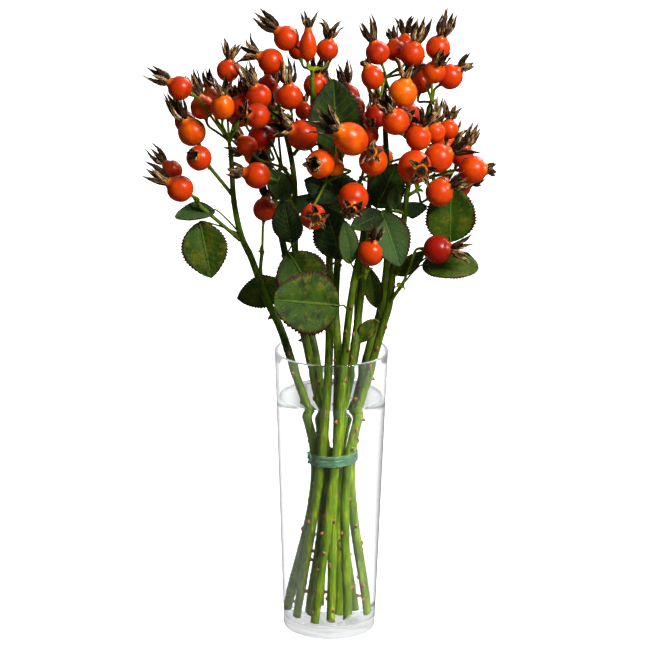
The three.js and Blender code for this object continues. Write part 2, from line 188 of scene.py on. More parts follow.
TRUSSES = [
    Truss("truss_left_top", (-80, -8, 395), (-81, -8, 405), [
        Hip((-119, -22, 451), 9.5, (-0.87, 0, 0.5), 0.65, Calyx.CLOSED),
        Hip((-102, -8, 432), 9.5, (-0.3, 0, 0.95), 0.45, Calyx.CLOSED),
        Hip((-96, 13, 434), 8, (-0.25, 0.3, 1), 0.3, Calyx.CLOSED),
        Hip((-82, -5, 461), 9, (0.15, 0, 1), 0.55, Calyx.SPLAYED),
        Hip((-86, -25, 437), 9.5, (0, -0.3, 1), 0.2, Calyx.SPLAYED, tall=1.12),
        Hip((-76, 11, 435), 7.2, (-0.1, -0.7, 0.7), 0.15, Calyx.DISC),
        Hip((-72, -8, 432), 9.8, (0.2, 0.2, 1), 0.85, Calyx.SHORT),
        Hip((-68, 26, 439), 6.5, (0.2, 0.3, 1), 0.6, Calyx.CLOSED),
    ]),
    Truss("truss_left_branch", (-78, -9, 361), (-98, -12, 387), [
        Hip((-116, 12, 415), 8.5, (-0.5, 0.3, 0.8), 0.6, Calyx.CLOSED),
        Hip((-110, -12, 413), 11, (-0.5, 0, 0.85), 0.25, Calyx.CLOSED),
        Hip((-104, -30, 397), 10, (-0.3, -0.8, 0.4), 0.6, Calyx.STUB),
    ]),
    Truss("truss_left_low", (-72, -10, 325), (-105, -18, 356), [
        Hip((-119, -22, 370), 10.5, (-0.85, 0, 0.5), 0.5, Calyx.CLOSED),
        Hip((-126, 2, 378), 8.2, (-0.7, 0.2, 0.7), 0.6, Calyx.CLOSED),
    ]),
    Truss("truss_left_shoot", (-55, -5, 287), (-55, -6, 315), [
        Hip((-53, -8, 350), 9.4, (0.1, 0.1, 1), 0.6, Calyx.SHORT),
    ]),
    Truss("truss_upper_left", (-39, -12, 419), (-44, -12, 430), [
        Hip((-58, -16, 443), 10, (-0.4, -0.1, 0.9), 0.65, Calyx.CLOSED),
        Hip((-59, -41, 434), 10, (-0.75, -0.6, 0.3), 0.65, Calyx.DISC),
        Hip((-49, -10, 470), 10, (-0.9, 0, 0.4), 0.55, Calyx.CURLED),
        Hip((-52, 10, 445), 8, (0.1, 0.4, 0.9), 0.7, Calyx.SPLAYED),
        Hip((-34, -12, 442), 10.3, (-0.1, 0, 1), 0.6, Calyx.CLOSED),
    ]),
    Truss("truss_middle_left", (-30, -18, 375), (-40, -18, 387), [
        Hip((-67, -12, 402), 8.2, (-0.6, 0.5, 0.6), 0.5, Calyx.SHORT),
        Hip((-59, -36, 385), 10.5, (-0.95, -0.1, 0.25), 0.6, Calyx.SHORT),
        Hip((-56, 10, 403), 11, (0, -0.6, -0.8), 1.15, Calyx.SPLAYED),
        Hip((-46, 7, 424), 7, (-0.2, 0.3, 0.9), 0.7, Calyx.CLOSED),
    ]),
    Truss("truss_middle", (-33, -16, 395), (-27, -15, 401), [
        Hip((-24, -34, 417), 12, (-0.8, -0.4, 0.45), 0.65, Calyx.SPLAYED),
        Hip((-29, 6, 408), 8.6, (-0.5, 0.5, 0.6), 0.8, Calyx.SHORT),
        Hip((-23, 2, 427), 6.8, (0, 0.2, 1), 0.7, Calyx.SHORT),
    ]),
    Truss("truss_summit", (-17, -11, 453), (-17, -11, 463), [
        Hip((-37, -5, 487), 10, (-0.75, 0, 0.65), 0.55, Calyx.CLOSED),
        Hip((-20, -14, 484), 7.5, (0, 0, 1), 0.5, Calyx.SPLAYED, tall=1.7),
        Hip((-28, 13, 473), 7.5, (-0.3, 0.4, 0.8), 0.65, Calyx.SHORT),
        Hip((-5, 0, 477), 8.7, (0.15, 0, 1), 0.55, Calyx.CURLED),
        Hip((-14, 9, 446), 9.6, (0.2, 0, 1), 0.65, Calyx.SPLAYED),
    ]),
    Truss("truss_front_middle", (-6, -13, 369), (-5, -30, 379), [
        Hip((-10, -56, 400), 11.3, (-0.3, -0.9, 0.25), 0.35, Calyx.SHORT),
        Hip((1, -39, 393), 7, (-0.85, -0.3, 0.3), 0.2, Calyx.SHORT, tall=1.15),
        Hip((-15, -68, 361), 10.2, (0.2, -0.95, 0.2), 0.6, Calyx.DISC),
    ]),
    Truss("truss_front_right", (22, -35, 375), (22, -37, 383), [
        Hip((13, -58, 421), 12.8, (-0.65, -0.45, 0.6), 0.3, Calyx.SPLAYED, tall=1.2),
        Hip((31, -51, 401), 11.3, (-0.1, -0.7, 0.7), 0.4, Calyx.DISC),
        Hip((16, -66, 376), 11.7, (-0.1, -0.9, -0.4), 0.6, Calyx.DISC),
        Hip((29, -27, 415), 6.6, (0, 0.2, 1), 0.65, Calyx.SHORT),
    ]),
    Truss("truss_front_low", (20, -36, 303), (27, -39, 309), [
        Hip((30, -42, 325), 10.5, (0.25, 0, 0.9), 0.5, Calyx.SHORT),
    ]),
    Truss("truss_inner_right", (28, -4, 403), (28, -4, 411), [
        Hip((15, 2, 430), 10, (-0.5, 0, 0.85), 0.45, Calyx.CLOSED),
        Hip((34, -10, 427), 9.5, (0, 0, 1), 0.8, Calyx.SPLAYED),
        Hip((12, 26, 433), 9.2, (-0.2, 0.4, 0.9), 0.6, Calyx.CLOSED),
    ]),
    Truss("truss_upper_right", (40, 5, 445), (40, 3, 454), [
        Hip((34, -5, 476), 9.5, (-0.35, 0, 0.95), 0.7, Calyx.CLOSED),
        Hip((30, -19, 460), 9, (-0.4, 0, 0.9), 0.55, Calyx.STUB, tall=1.1),
        Hip((48, 15, 473), 8.5, (-0.2, 0.2, 0.95), 0.65, Calyx.SHORT),
        Hip((56, 32, 473), 8.5, (0, 0.2, 1), 0.7, Calyx.SPLAYED),
        Hip((61, -5, 475), 10, (0.3, 0, 0.9), 0.55, Calyx.CLOSED),
        Hip((54, -9, 445), 11.5, (0.2, 0, 0.95), 0.1, Calyx.SPLAYED),
    ]),
    Truss("truss_far_right_top", (74, 12, 423), (77, 5, 434), [
        Hip((81, 0, 479), 9.8, (0.3, 0, 0.95), 0.55, Calyx.CLOSED),
        Hip((78, -14, 463), 9, (0.35, -0.4, 0.8), 0.45, Calyx.SHORT),
        Hip((91, 4, 455), 10, (0.75, 0, 0.65), 0.6, Calyx.SHORT),
        Hip((68, 18, 447), 9.3, (0.1, 0.2, 1), 0.7, Calyx.STUB),
    ]),
    Truss("truss_right_top", (64, -14, 399), (65, -13, 405), [
        Hip((55, -14, 422), 10.2, (0.2, -0.8, 0.6), 0.35, Calyx.DISC),
        Hip((66, -35, 416), 10, (0.4, 0, 0.9), 0.4, Calyx.CURLED),
        Hip((48, -39, 430), 10.8, (-0.4, -0.4, 0.8), 0.45, Calyx.SHORT),
        Hip((79, -11, 414), 8.6, (0.1, -0.1, 1), 0.4, Calyx.CLOSED),
        Hip((90, 6, 412), 8, (0.15, 0, 1), 0.5, Calyx.SPLAYED),
    ]),
    Truss("truss_right_front", (58, -21, 365), (66, -24, 371), [
        Hip((63, -52, 397), 13.3, (0.3, -0.95, 0.1), 0.5, Calyx.DISC),
        Hip((82, -29, 398), 11.6, (0.85, 0, 0.5), 0.45, Calyx.SPLAYED),
        Hip((83, -35, 372), 11, (0.8, -0.2, 0.5), 0.45, Calyx.SHORT),
    ]),
    Truss("truss_right_side", (59, -19, 375), (78, -7, 377), [
        Hip((101, 6, 391), 9.4, (0.45, 0, 0.9), 0.7, Calyx.CLOSED),
        Hip((109, -22, 387), 11.2, (0.95, -0.2, 0.1), 0.45, Calyx.STUB),
        Hip((100, -6, 369), 8.6, (0.8, 0, 0.3), 0.5, Calyx.SHORT),
        Hip((86, 11, 365), 7.2, (0.3, 0.6, 0.5), 0.6, Calyx.SHORT),
    ]),
    Truss("truss_right_low", (45, -18, 275), (55, -29, 295), [
        Hip((82, -45, 329), 11.3, (0.9, -0.35, 0.1), 1.05, Calyx.SPLAYED),
    ]),
    Truss("truss_rear_right", (60, 28, 377), (64, 36, 383), [
        Hip((60, 52, 411), 10, (0, 0.5, 0.9), 0.6, Calyx.CLOSED),
        Hip((88, 44, 387), 9.6, (0.7, 0.4, 0.4), 0.5, Calyx.SPLAYED),
        Hip((38, 76, 369), 10.4, (0.1, 1, 0.1), 0.4, Calyx.DISC),
    ]),
    Truss("truss_rear_middle", (6, 35, 383), (6, 38, 391), [
        Hip((-5, 54, 419), 10, (-0.2, 0.3, 0.9), 0.6, Calyx.CLOSED),
        Hip((26, 58, 401), 10.8, (0.4, 0.8, 0.4), 0.3, Calyx.SPLAYED),
        Hip((0, 74, 375), 10.4, (0, 1, -0.1), 0.6, Calyx.DISC),
        Hip((-22, 52, 391), 9.4, (-0.4, 0.7, 0.5), 0.7, Calyx.SHORT),
    ]),
    Truss("truss_rear_left", (-54, 34, 395), (-55, 36, 403), [
        Hip((-74, 50, 411), 10, (-0.5, 0.5, 0.7), 0.5, Calyx.CLOSED),
        Hip((-48, 64, 399), 10.6, (0.1, 0.9, 0.4), 0.6, Calyx.DISC),
        Hip((-62, 78, 371), 9.4, (-0.9, 0.3, 0.2), 0.4, Calyx.SPLAYED),
        Hip((-48, 40, 429), 9.6, (0.1, 0.2, 1), 0.65, Calyx.CLOSED),
    ]),
]

LEAVES = [
    Leaf("leaf_middle_large", (-4, -11, 353), (2, -24, 401), (0, -27, 460), 44, (0.1, -1, 0.1), fold=0.3),
    Leaf("leaf_left", (-72, -10, 330), (-104, -14, 341), (-95, -24, 298), 37, (-0.1, -1, 0.2),
         LeafTone.OLIVE),
    Leaf("leaf_left_edge", (-72, -10, 330), (-92, -14, 351), (-123, -20, 347), 22, (0, -0.45, 1),
         LeafTone.GREY),
    Leaf("leaf_grey_left", (-29, -20, 353), (-34, -26, 363), (-50, -32, 389), 20, (0.2, -1, 0.1),
         LeafTone.GREY),
    Leaf("leaf_dark_left", (-29, -24, 318), (-32, -34, 329), (-38, -40, 366), 25, (-0.2, -1, 0)),
    Leaf("leaf_dark_middle", (-4, -11, 353), (6, -26, 365), (-22, -34, 381), 24, (0, -1, 0.2)),
    Leaf("leaf_front_dark", (-2, -9, 303), (7, -36, 317), (-6, -46, 363), 32, (-0.1, -1, 0.1)),
    Leaf("leaf_front_grey", (18, -35, 305), (15, -40, 315), (9, -52, 353), 18, (0.5, -1, 0), LeafTone.GREY),
    Leaf("leaf_front_behind", (-29, -24, 328), (-34, -36, 323), (-12, -40, 286), 42, (-0.1, -1, 0.2),
         LeafTone.GREEN),
    Leaf("leaf_front_large", (12, -36, 277), (7, -43, 282), (-44, -72, 295), 50, (-0.2, -1, 0.3),
         LeafTone.GREEN, fold=0.06, blunt=True),
    Leaf("leaf_front_olive", (-26, -26, 285), (-37, 0, 285), (-75, 4, 273), 26, (0.1, -1, 0.3),
         LeafTone.OLIVE),
    Leaf("leaf_right", (59, -33, 307), (92, -20, 327), (92, -22, 373), 40, (0.1, -1, 0),
         LeafTone.OLIVE, blunt=True),
    Leaf("leaf_right_low", (55, -29, 295), (70, -34, 313), (114, -42, 314), 30, (0, -0.7, 1),
         LeafTone.OLIVE, blunt=True),
    Leaf("leaf_right_middle", (57, -21, 350), (38, -34, 356), (53, -46, 315), 31, (0.2, -1, 0),
         LeafTone.GREY, fold=0.3),
    Leaf("leaf_node_dark", (57, -21, 350), (40, -34, 355), (14, -44, 345), 18, (0, -1, 0.6)),
    Leaf("leaf_narrow", (48, -20, 298), (50, -24, 301), (72, -34, 324), 13, (0, -1, 0.3),
         LeafTone.OLIVE, fold=0.4),
    Leaf("leaf_behind_canes", (40, -16, 256), (36, -6, 269), (28, -4, 303), 15, (0, -1, 0), LeafTone.OLIVE),
    Leaf("leaf_small_front", (40, -16, 256), (33, -14, 262), (22, -16, 243), 13, (0, -1, 0.2),
         LeafTone.OLIVE),
    Leaf("leaf_pale_small", (57, -21, 350), (46, -34, 357), (49, -38, 378), 13, (0, -1, 0), LeafTone.GREY),
    Leaf("leaf_inner_right", (27, -7, 333), (34, -16, 353), (50, -20, 391), 30, (0.1, -1, 0)),
    Leaf("leaf_inner_middle", (26, -7, 333), (16, -14, 345), (-2, -20, 385), 34, (0, -1, 0)),
    Leaf("leaf_rear_left", (-43, 39, 330), (-32, 48, 345), (-30, 84, 318), 32, (-0.2, 1, 0.4),
         LeafTone.GREEN),
    Leaf("leaf_rear_middle", (5, 16, 320), (7, 34, 343), (-8, 72, 327), 42, (0, 0.6, 1), LeafTone.DARK_AND_SHADED),
    Leaf("leaf_rear_right", (42, 34, 333), (48, 40, 343), (64, 76, 321), 40, (0.2, 0.7, 1), LeafTone.GREEN),
]


# ---------------------------------------------------------------- shapes

def unit(way: np.ndarray) -> np.ndarray:
    """Returns the direction at length one."""
    return way / max(float(np.linalg.norm(way)), 1e-12)


def place(point: Triple) -> np.ndarray:
    """Returns a layout point in metres."""
    return np.array(point, dtype=float) * MM


def wobble(seed: float, where: float, rate: float) -> float:
    """Returns smooth noise from -1 to 1 along one line.

    Args:
        seed: which line of noise.
        where: the place along it.
        rate: how fast it changes.

    Returns:
        The noise there.
    """
    return noise.noise(Vector((where * rate, seed * 7.31, seed * 3.17)))


def between(t: float, start: float, end: float, p: np.ndarray, q: np.ndarray) -> np.ndarray:
    """Finds a point on the line through two others.

    Args:
        t: where on the line.
        start: where the first point lies.
        end: where the second point lies.
        p: the first point.
        q: the second point.

    Returns:
        The point at t.
    """
    return ((end - t) * p + (t - start) * q) / (end - start)


def smooth_route(points: list[np.ndarray], step: float) -> np.ndarray:
    """Draws a centripetal Catmull-Rom curve through the points.

    Args:
        points: the points of the route, in metres.
        step: the distance between samples, in metres.

    Returns:
        The samples, one row each.
    """
    ends = [2 * points[0] - points[1], *points, 2 * points[-1] - points[-2]]
    samples: list[np.ndarray] = []
    for a, b, c, d in zip(ends, ends[1:], ends[2:], ends[3:]):
        gaps = [max(math.sqrt(np.linalg.norm(q - p)), 1e-6) for p, q in ((a, b), (b, c), (c, d))]
        k = np.cumsum([0.0, *gaps])
        count = max(2, int(np.linalg.norm(c - b) / step))
        for t in np.linspace(k[1], k[2], count, endpoint=False):
            ab, bc = between(t, k[0], k[1], a, b), between(t, k[1], k[2], b, c)
            cd = between(t, k[2], k[3], c, d)
            abc, bcd = between(t, k[0], k[2], ab, bc), between(t, k[1], k[3], bc, cd)
            samples.append(between(t, k[1], k[2], abc, bcd))
    return np.array([*samples, points[-1]])


def carried_frames(path: np.ndarray, first: np.ndarray | None = None) -> tuple[np.ndarray, np.ndarray]:
    """Carries a pair of side directions along a path without twist.

    Args:
        path: the samples of the path.
        first: a direction that the first side should lean to.

    Returns:
        The two side directions at each sample.
    """
    ways = np.gradient(path, axis=0)
    ways /= np.maximum(np.linalg.norm(ways, axis=1, keepdims=True), 1e-12)
    lean = first if first is not None else (UP if abs(ways[0][2]) < 0.9 else np.array((1.0, 0.0, 0.0)))
    sides = np.empty_like(path)
    side = unit(lean - ways[0] * float(lean @ ways[0]))
    for i, way in enumerate(ways):
        side = unit(side - way * float(side @ way))
        sides[i] = side
    return sides, np.cross(ways, sides)


def tube_faces(rows: int, ring: int) -> list[tuple[int, ...]]:
    """Lists the faces of a closed tube, whose last two points are the middles of its ends.

    Args:
        rows: how many rings it has.
        ring: how many points there are in a ring.

    Returns:
        The corner numbers of each face.
    """
    pairs = [(j, (j + 1) % ring) for j in range(ring)]
    faces: list[tuple[int, ...]] = []
    for low in range(0, (rows - 1) * ring, ring):
        faces += [(low + j, low + k, low + ring + k, low + ring + j) for j, k in pairs]
    foot, head, last = rows * ring, rows * ring + 1, (rows - 1) * ring
    for j, k in pairs:
        faces += [(foot, k, j), (head, last + j, last + k)]
    return faces


class Shell:
    """The growing mesh of one piece, with named values kept at its points."""

    def __init__(self) -> None:
        """Starts an empty shell."""
        self.points: list[np.ndarray] = []
        self.faces: list[tuple[int, ...]] = []
        self.values: dict[str, list[np.ndarray]] = {}
        self.count = 0

    def add(self, points: np.ndarray, faces: list[tuple[int, ...]], **values: np.ndarray | float) -> None:
        """Adds points and faces.

        Args:
            points: one row each.
            faces: corner numbers within these points.
            values: one number, or one for each point, under each name.
        """
        self.points.append(points)
        self.faces.extend(tuple(corner + self.count for corner in face) for face in faces)
        for name, value in values.items():
            self.values.setdefault(name, []).append(np.broadcast_to(np.asarray(value, float), len(points)))
        self.count += len(points)

    def loft(self, path: np.ndarray, sections: np.ndarray, first: np.ndarray | None = None,
             **values: np.ndarray | float) -> None:
        """Adds a closed bar whose cross-sections follow a path.

        Args:
            path: the samples of the path, n rows.
            sections: n by m by 2 numbers, across the two side directions.
            first: a direction that the first side should lean to.
            values: n by m numbers, or one number, under each name.
        """
        sides, others = carried_frames(path, first)
        rows, ring = sections.shape[:2]
        skin = (path[:, None, :] + sections[..., :1] * sides[:, None, :]
                + sections[..., 1:] * others[:, None, :])
        points = np.concatenate((skin.reshape(-1, 3), skin[0].mean(0)[None], skin[-1].mean(0)[None]))
        spread = {}
        for name, value in values.items():
            grid = np.broadcast_to(np.asarray(value, float), (rows, ring))
            spread[name] = np.concatenate((grid.reshape(-1), [grid[0].mean()], [grid[-1].mean()]))
        self.add(points, tube_faces(rows, ring), **spread)

    def bar(self, path: np.ndarray, radii: np.ndarray, sides: int, **values: np.ndarray | float) -> None:
        """Adds a round bar along a path.

        Args:
            path: the samples of the path.
            radii: one radius for each sample.
            sides: how many points there are round it.
            values: as for a loft.
        """
        turns = np.arange(sides) * 2 * math.pi / sides
        ring = np.stack((np.cos(turns), np.sin(turns)), axis=1)
        self.loft(path, np.asarray(radii)[:, None, None] * ring[None], **values)

    def piece(self, name: str, material: bpy.types.Material, slot: str, *nodes: str) -> bpy.types.Object:
        """Makes the shell into a piece of the model.

        Args:
            name: the piece's name.
            material: its material.
            slot: not used.
            nodes: the plain parts that it stands for.

        Returns:
            The new object.
        """
        mesh = bpy.data.meshes.new(name)
        mesh.from_pydata(np.concatenate(self.points).tolist(), [], self.faces)
        for label, parts in self.values.items():
            layer = mesh.attributes.new(label, "FLOAT", "POINT")
            layer.data.foreach_set("value", np.concatenate(parts).astype(np.float32))
        mesh.polygons.foreach_set("use_smooth", [True] * len(mesh.polygons))
        mesh.materials.append(material)
        mesh.validate()
        mesh.update()
        thing = bpy.data.objects.new(name, mesh)
        bpy.context.scene.collection.objects.link(thing)
        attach(thing, BODY)
        if nodes:
            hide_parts(*nodes)
        LOG.info("%s: %d faces", name, len(mesh.polygons))
        return thing


# ---------------------------------------------------------------- shading tools

Socket = bpy.types.NodeSocket
Input = float | tuple | Socket
Colour = tuple[float, float, float, float]


class Sheet:
    """A node tree that is filled one node at a time."""

    def __init__(self, tree: bpy.types.NodeTree) -> None:
        """Takes the tree to fill."""
        self.tree = tree

    def add(self, kind: str, inputs: dict[str | int, Input] | None = None,
            **settings: str | bpy.types.NodeTree) -> bpy.types.Node:
        """Adds a node.

        Args:
            kind: the node's type.
            inputs: a value or a socket for each named or numbered input.
            settings: the node's own properties.

        Returns:
            The new node.
        """
        node = self.tree.nodes.new(kind)
        for name, value in settings.items():
            setattr(node, name, value)
        for key, value in (inputs or {}).items():
            if isinstance(value, Socket):
                self.tree.links.new(value, node.inputs[key])
            else:
                node.inputs[key].default_value = value
        return node

    def maths(self, operation: str, *terms: Input) -> Socket:
        """Returns the result of one Math node."""
        return self.add("ShaderNodeMath", dict(enumerate(terms)), operation=operation).outputs[0]

    def mix(self, share: Input, low: Input, high: Input) -> Socket:
        """Returns the mix of two colours."""
        return self.add("ShaderNodeMix", {0: share, 6: low, 7: high}, data_type="RGBA").outputs[2]

    def ramp(self, value: Input, low: Input, high: Input, bottom: float = 0.0, top: float = 1.0) -> Socket:
        """Returns a value eased from bottom to top as the input goes from low to high."""
        return self.add("ShaderNodeMapRange", {0: value, 1: low, 2: high, 3: bottom, 4: top},
                        interpolation_type="SMOOTHSTEP").outputs[0]

    def mark(self, name: str) -> Socket:
        """Returns a value that is kept at the mesh's points."""
        return self.add("ShaderNodeAttribute", attribute_name=name).outputs["Fac"]

    def place(self) -> Socket:
        """Returns the object coordinate."""
        return self.add("ShaderNodeTexCoord").outputs["Object"]

    def effect(self, group: bpy.types.NodeTree, **inputs: Input) -> Socket:
        """Places a shared effect.

        Args:
            group: the effect.
            inputs: a value or a socket for each of its inputs.

        Returns:
            The effect's output.
        """
        node = self.add("ShaderNodeGroup", node_tree=group)
        for name, value in inputs.items():
            socket = node.inputs[name]
            if isinstance(value, Socket):
                self.tree.links.new(value, socket)
            else:
                socket.default_value = value
        return node.outputs[0]

    def grain(self, where: Socket, stretch: Triple, scale: float, low: float, high: float) -> Socket:
        """Places the noise mask.

        Args:
            where: the place on the surface.
            stretch: how fast the noise changes along each axis, as ratios.
            scale: how fine it is.
            low: the noise at which the mask starts.
            high: the noise at which the mask is full.

        Returns:
            The mask, from 0 to 1.
        """
        return self.effect(EFFECTS.grain, Place=where, Stretch=stretch, Scale=scale, Low=low, High=high)

    def three_tone(self, value: Socket, low: Colour, middle: Colour, high: Colour) -> Socket:
        """Returns a colour that goes through three others as a value goes from 0 to 1."""
        return self.effect(EFFECTS.three_tone, Value=value, Low=low, Middle=middle, High=high)

    def direct(self, *kinds: str) -> Socket:
        """Finds the rays that have met no matt surface and no mirror on their way.

        Args:
            kinds: the Light Path outputs that name the kinds of ray.

        Returns:
            1 for such rays and 0 for others.
        """
        paths = self.add("ShaderNodeLightPath").outputs
        kind = paths[kinds[0]]
        for other in kinds[1:]:
            kind = self.maths("MAXIMUM", kind, paths[other])
        bounced = self.maths("ADD", paths["Diffuse Depth"], paths["Glossy Depth"])
        return self.maths("MULTIPLY", kind, self.maths("LESS_THAN", bounced, 0.5))

    def within(self, ahead: Socket) -> tuple[Socket, Socket]:
        """Finds the rays that were mirrored inside something clear, and how bright they see the studio.

        Args:
            ahead: how far the ray heads away from the front.

        Returns:
            The share of such rays, and their brightness.
        """
        paths = self.add("ShaderNodeLightPath").outputs
        entered = self.maths("GREATER_THAN", paths["Transmission Depth"], 0.5)
        mirrored = self.maths("GREATER_THAN", paths["Glossy Depth"], 0.5)
        clean = self.maths("LESS_THAN", paths["Diffuse Depth"], 0.5)
        often = self.maths("GREATER_THAN", paths["Glossy Depth"], 1.5)
        level = self.blend(often, self.ramp(ahead, -0.85, -0.1, 0.02, 0.6), 0.3)
        return self.maths("MULTIPLY", entered, self.maths("MULTIPLY", mirrored, clean)), level

    def blend(self, share: Socket, low: Input, high: Input) -> Socket:
        """Returns a number between two others."""
        return self.add("ShaderNodeMix", {0: share, 2: low, 3: high}, data_type="FLOAT").outputs[0]

    def bump(self, height: Socket, strength: float, distance: float) -> Socket:
        """Returns a normal raised by a height."""
        given = {"Height": height, "Strength": strength, "Distance": distance}
        return self.add("ShaderNodeBump", given).outputs[0]


class Effects:
    """The node groups that more than one finish uses."""

    @staticmethod
    def start(name: str, sockets: dict[str, str],
              output: str) -> tuple[Sheet, bpy.types.Node, bpy.types.Node]:
        """Makes an empty group.

        Args:
            name: the group's name.
            sockets: the type of each input.
            output: the type of the one output.

        Returns:
            The sheet, and its input and output nodes.
        """
        tree = bpy.data.node_groups.new(name, "ShaderNodeTree")
        for label, kind in sockets.items():
            tree.interface.new_socket(name=label, in_out="INPUT", socket_type=kind)
        tree.interface.new_socket(name="Result", in_out="OUTPUT", socket_type=output)
        sheet = Sheet(tree)
        return sheet, sheet.add("NodeGroupInput"), sheet.add("NodeGroupOutput")

    @cached_property
    def grain(self) -> bpy.types.NodeTree:
        """A soft-edged noise mask, stretched along any axis.

        Returns:
            The group.
        """
        kinds = {"Place": "NodeSocketVector", "Stretch": "NodeSocketVector", "Scale": "NodeSocketFloat",
                 "Low": "NodeSocketFloat", "High": "NodeSocketFloat"}
        sheet, given, result = self.start("grain", kinds, "NodeSocketFloat")
        terms = {0: given.outputs["Place"], 1: given.outputs["Stretch"]}
        stretched = sheet.add("ShaderNodeVectorMath", terms, operation="MULTIPLY").outputs[0]
        cloud = sheet.add("ShaderNodeTexNoise", {"Vector": stretched, "Scale": given.outputs["Scale"],
                                                 "Detail": 4.0, "Roughness": 0.55}).outputs[0]
        mask = sheet.ramp(cloud, given.outputs["Low"], given.outputs["High"])
        sheet.tree.links.new(mask, result.inputs[0])
        return sheet.tree

    @cached_property
    def three_tone(self) -> bpy.types.NodeTree:
        """A colour that goes through three colours as a value goes from 0 to 1.

        Returns:
            The group.
        """
        kinds = {"Value": "NodeSocketFloat", "Low": "NodeSocketColor", "Middle": "NodeSocketColor",
                 "High": "NodeSocketColor"}
        sheet, given, result = self.start("three_tone", kinds, "NodeSocketColor")
        lower = sheet.ramp(given.outputs["Value"], 0.0, 0.5)
        upper = sheet.ramp(given.outputs["Value"], 0.5, 1.0)
        first = sheet.mix(lower, given.outputs["Low"], given.outputs["Middle"])
        sheet.tree.links.new(sheet.mix(upper, first, given.outputs["High"]), result.inputs[0])
        return sheet.tree


EFFECTS = Effects()


class Finish:
    """A surface finish that is built once, the first time it is asked for."""

    name: str

    @cached_property
    def material(self) -> bpy.types.Material:
        """The finish as a material.

        Returns:
            The material.
        """
        material = bpy.data.materials.new(self.name)
        material.use_nodes = True
        tree = material.node_tree
        tree.nodes.clear()
        sheet = Sheet(tree)
        surface = self.shade(sheet)
        sheet.add("ShaderNodeOutputMaterial", {"Surface": surface})
        return material

    def shade(self, sheet: Sheet) -> Socket:
        """Builds the finish's nodes and returns its shader."""
        raise NotImplementedError


@dataclass(frozen=True)
class HipSkin(Finish):
    """Waxy fruit skin, from orange to dark red, with a yellow neck."""

    name: str = "hip_skin"
    orange: Colour = (0.78, 0.135, 0.001, 1)
    red: Colour = (0.55, 0.037, 0.001, 1)
    dark: Colour = (0.27, 0.006, 0.001, 1)
    neck: Colour = (0.78, 0.27, 0.012, 1)
    blemish: Colour = (0.16, 0.02, 0.006, 1)

    def shade(self, sheet: Sheet) -> Socket:
        """Builds the skin.

        Args:
            sheet: the material\'s sheet.

        Returns:
            The shader.
        """
        where = sheet.place()
        cloud = sheet.grain(where, (1, 1, 1), 110.0, 0.25, 0.75)
        fine = sheet.grain(where, (1, 1, 1), 900.0, 0.35, 0.7)
        spots = sheet.grain(where, (1, 1, 1), 420.0, 0.70, 0.78)
        rise = sheet.mark("rise")
        ripe = sheet.maths("ADD", sheet.mark("tone"), sheet.maths("MULTIPLY_ADD", cloud, 0.34, -0.17))
        low = sheet.ramp(rise, 0.45, 0.0, 0.0, 0.12)
        colour = sheet.three_tone(sheet.maths("ADD", ripe, low), self.orange, self.red, self.dark)
        warm = sheet.maths("MULTIPLY", sheet.ramp(rise, 0.78, 0.96), sheet.ramp(cloud, 0.0, 0.8, 0.45, 1.0))
        warm = sheet.maths("MULTIPLY", warm, sheet.ramp(sheet.mark("tone"), 0.0, 1.0, 1.0, 0.25))
        colour = sheet.mix(warm, colour, self.neck)
        colour = sheet.mix(sheet.maths("MULTIPLY", spots, 0.55), colour, self.blemish)
        rough = sheet.ramp(cloud, 0.0, 1.0, 0.22, 0.36)
        normal = sheet.bump(sheet.maths("MULTIPLY_ADD", fine, 0.35, cloud), 0.16, 0.0006)
        return sheet.add("ShaderNodeBsdfPrincipled", {
            "Base Color": colour, "Roughness": rough, "Normal": normal, "IOR": 1.36,
            "Specular IOR Level": 0.38, "Coat Weight": 0.04, "Coat Roughness": 0.2,
            "Subsurface Weight": 0.1, "Subsurface Scale": 0.002,
            "Subsurface Radius": (1.0, 0.25, 0.1)}).outputs[0]


@dataclass(frozen=True)
class SepalFinish(Finish):
    """Dry sepals and stamens: brown-black with tan fibres and a painted highlight along each sepal's edge."""

    name: str = "dry_sepal"
    black: Colour = (0.010, 0.006, 0.003, 1)
    brown: Colour = (0.055, 0.025, 0.009, 1)
    tan: Colour = (0.74, 0.46, 0.20, 1)

    def shade(self, sheet: Sheet) -> Socket:
        """Builds the dry tissue.

        Args:
            sheet: the material\'s sheet.

        Returns:
            The shader.
        """
        lines = sheet.add("ShaderNodeCombineXYZ", {0: sheet.mark("across"), 1: sheet.mark("along"),
                                                   2: sheet.mark("seed")}).outputs[0]
        fibre = sheet.grain(lines, (3.2, 1.5, 9.0), 1.6, 0.36, 0.62)
        cloud = sheet.grain(sheet.place(), (1, 1, 1), 260.0, 0.3, 0.7)
        # Painted highlight: each sepal is lightened towards tan along its edges.
        edge = sheet.ramp(sheet.maths("ABSOLUTE", sheet.mark("across")), 0.8, 1.0, 0.0, 0.22)
        tone = sheet.maths("MULTIPLY_ADD", sheet.mark("tone"), 0.5, -0.26)
        tone = sheet.maths("MULTIPLY_ADD", fibre, 0.62, tone)
        tone = sheet.maths("ADD", sheet.maths("MULTIPLY_ADD", cloud, 0.2, tone), edge)
        colour = sheet.three_tone(tone, self.black, self.brown, self.tan)
        normal = sheet.bump(fibre, 0.7, 0.0005)
        return sheet.add("ShaderNodeBsdfPrincipled", {
            "Base Color": colour, "Roughness": sheet.ramp(cloud, 0.0, 1.0, 0.62, 0.85), "Normal": normal,
            "Specular IOR Level": 0.12}).outputs[0]


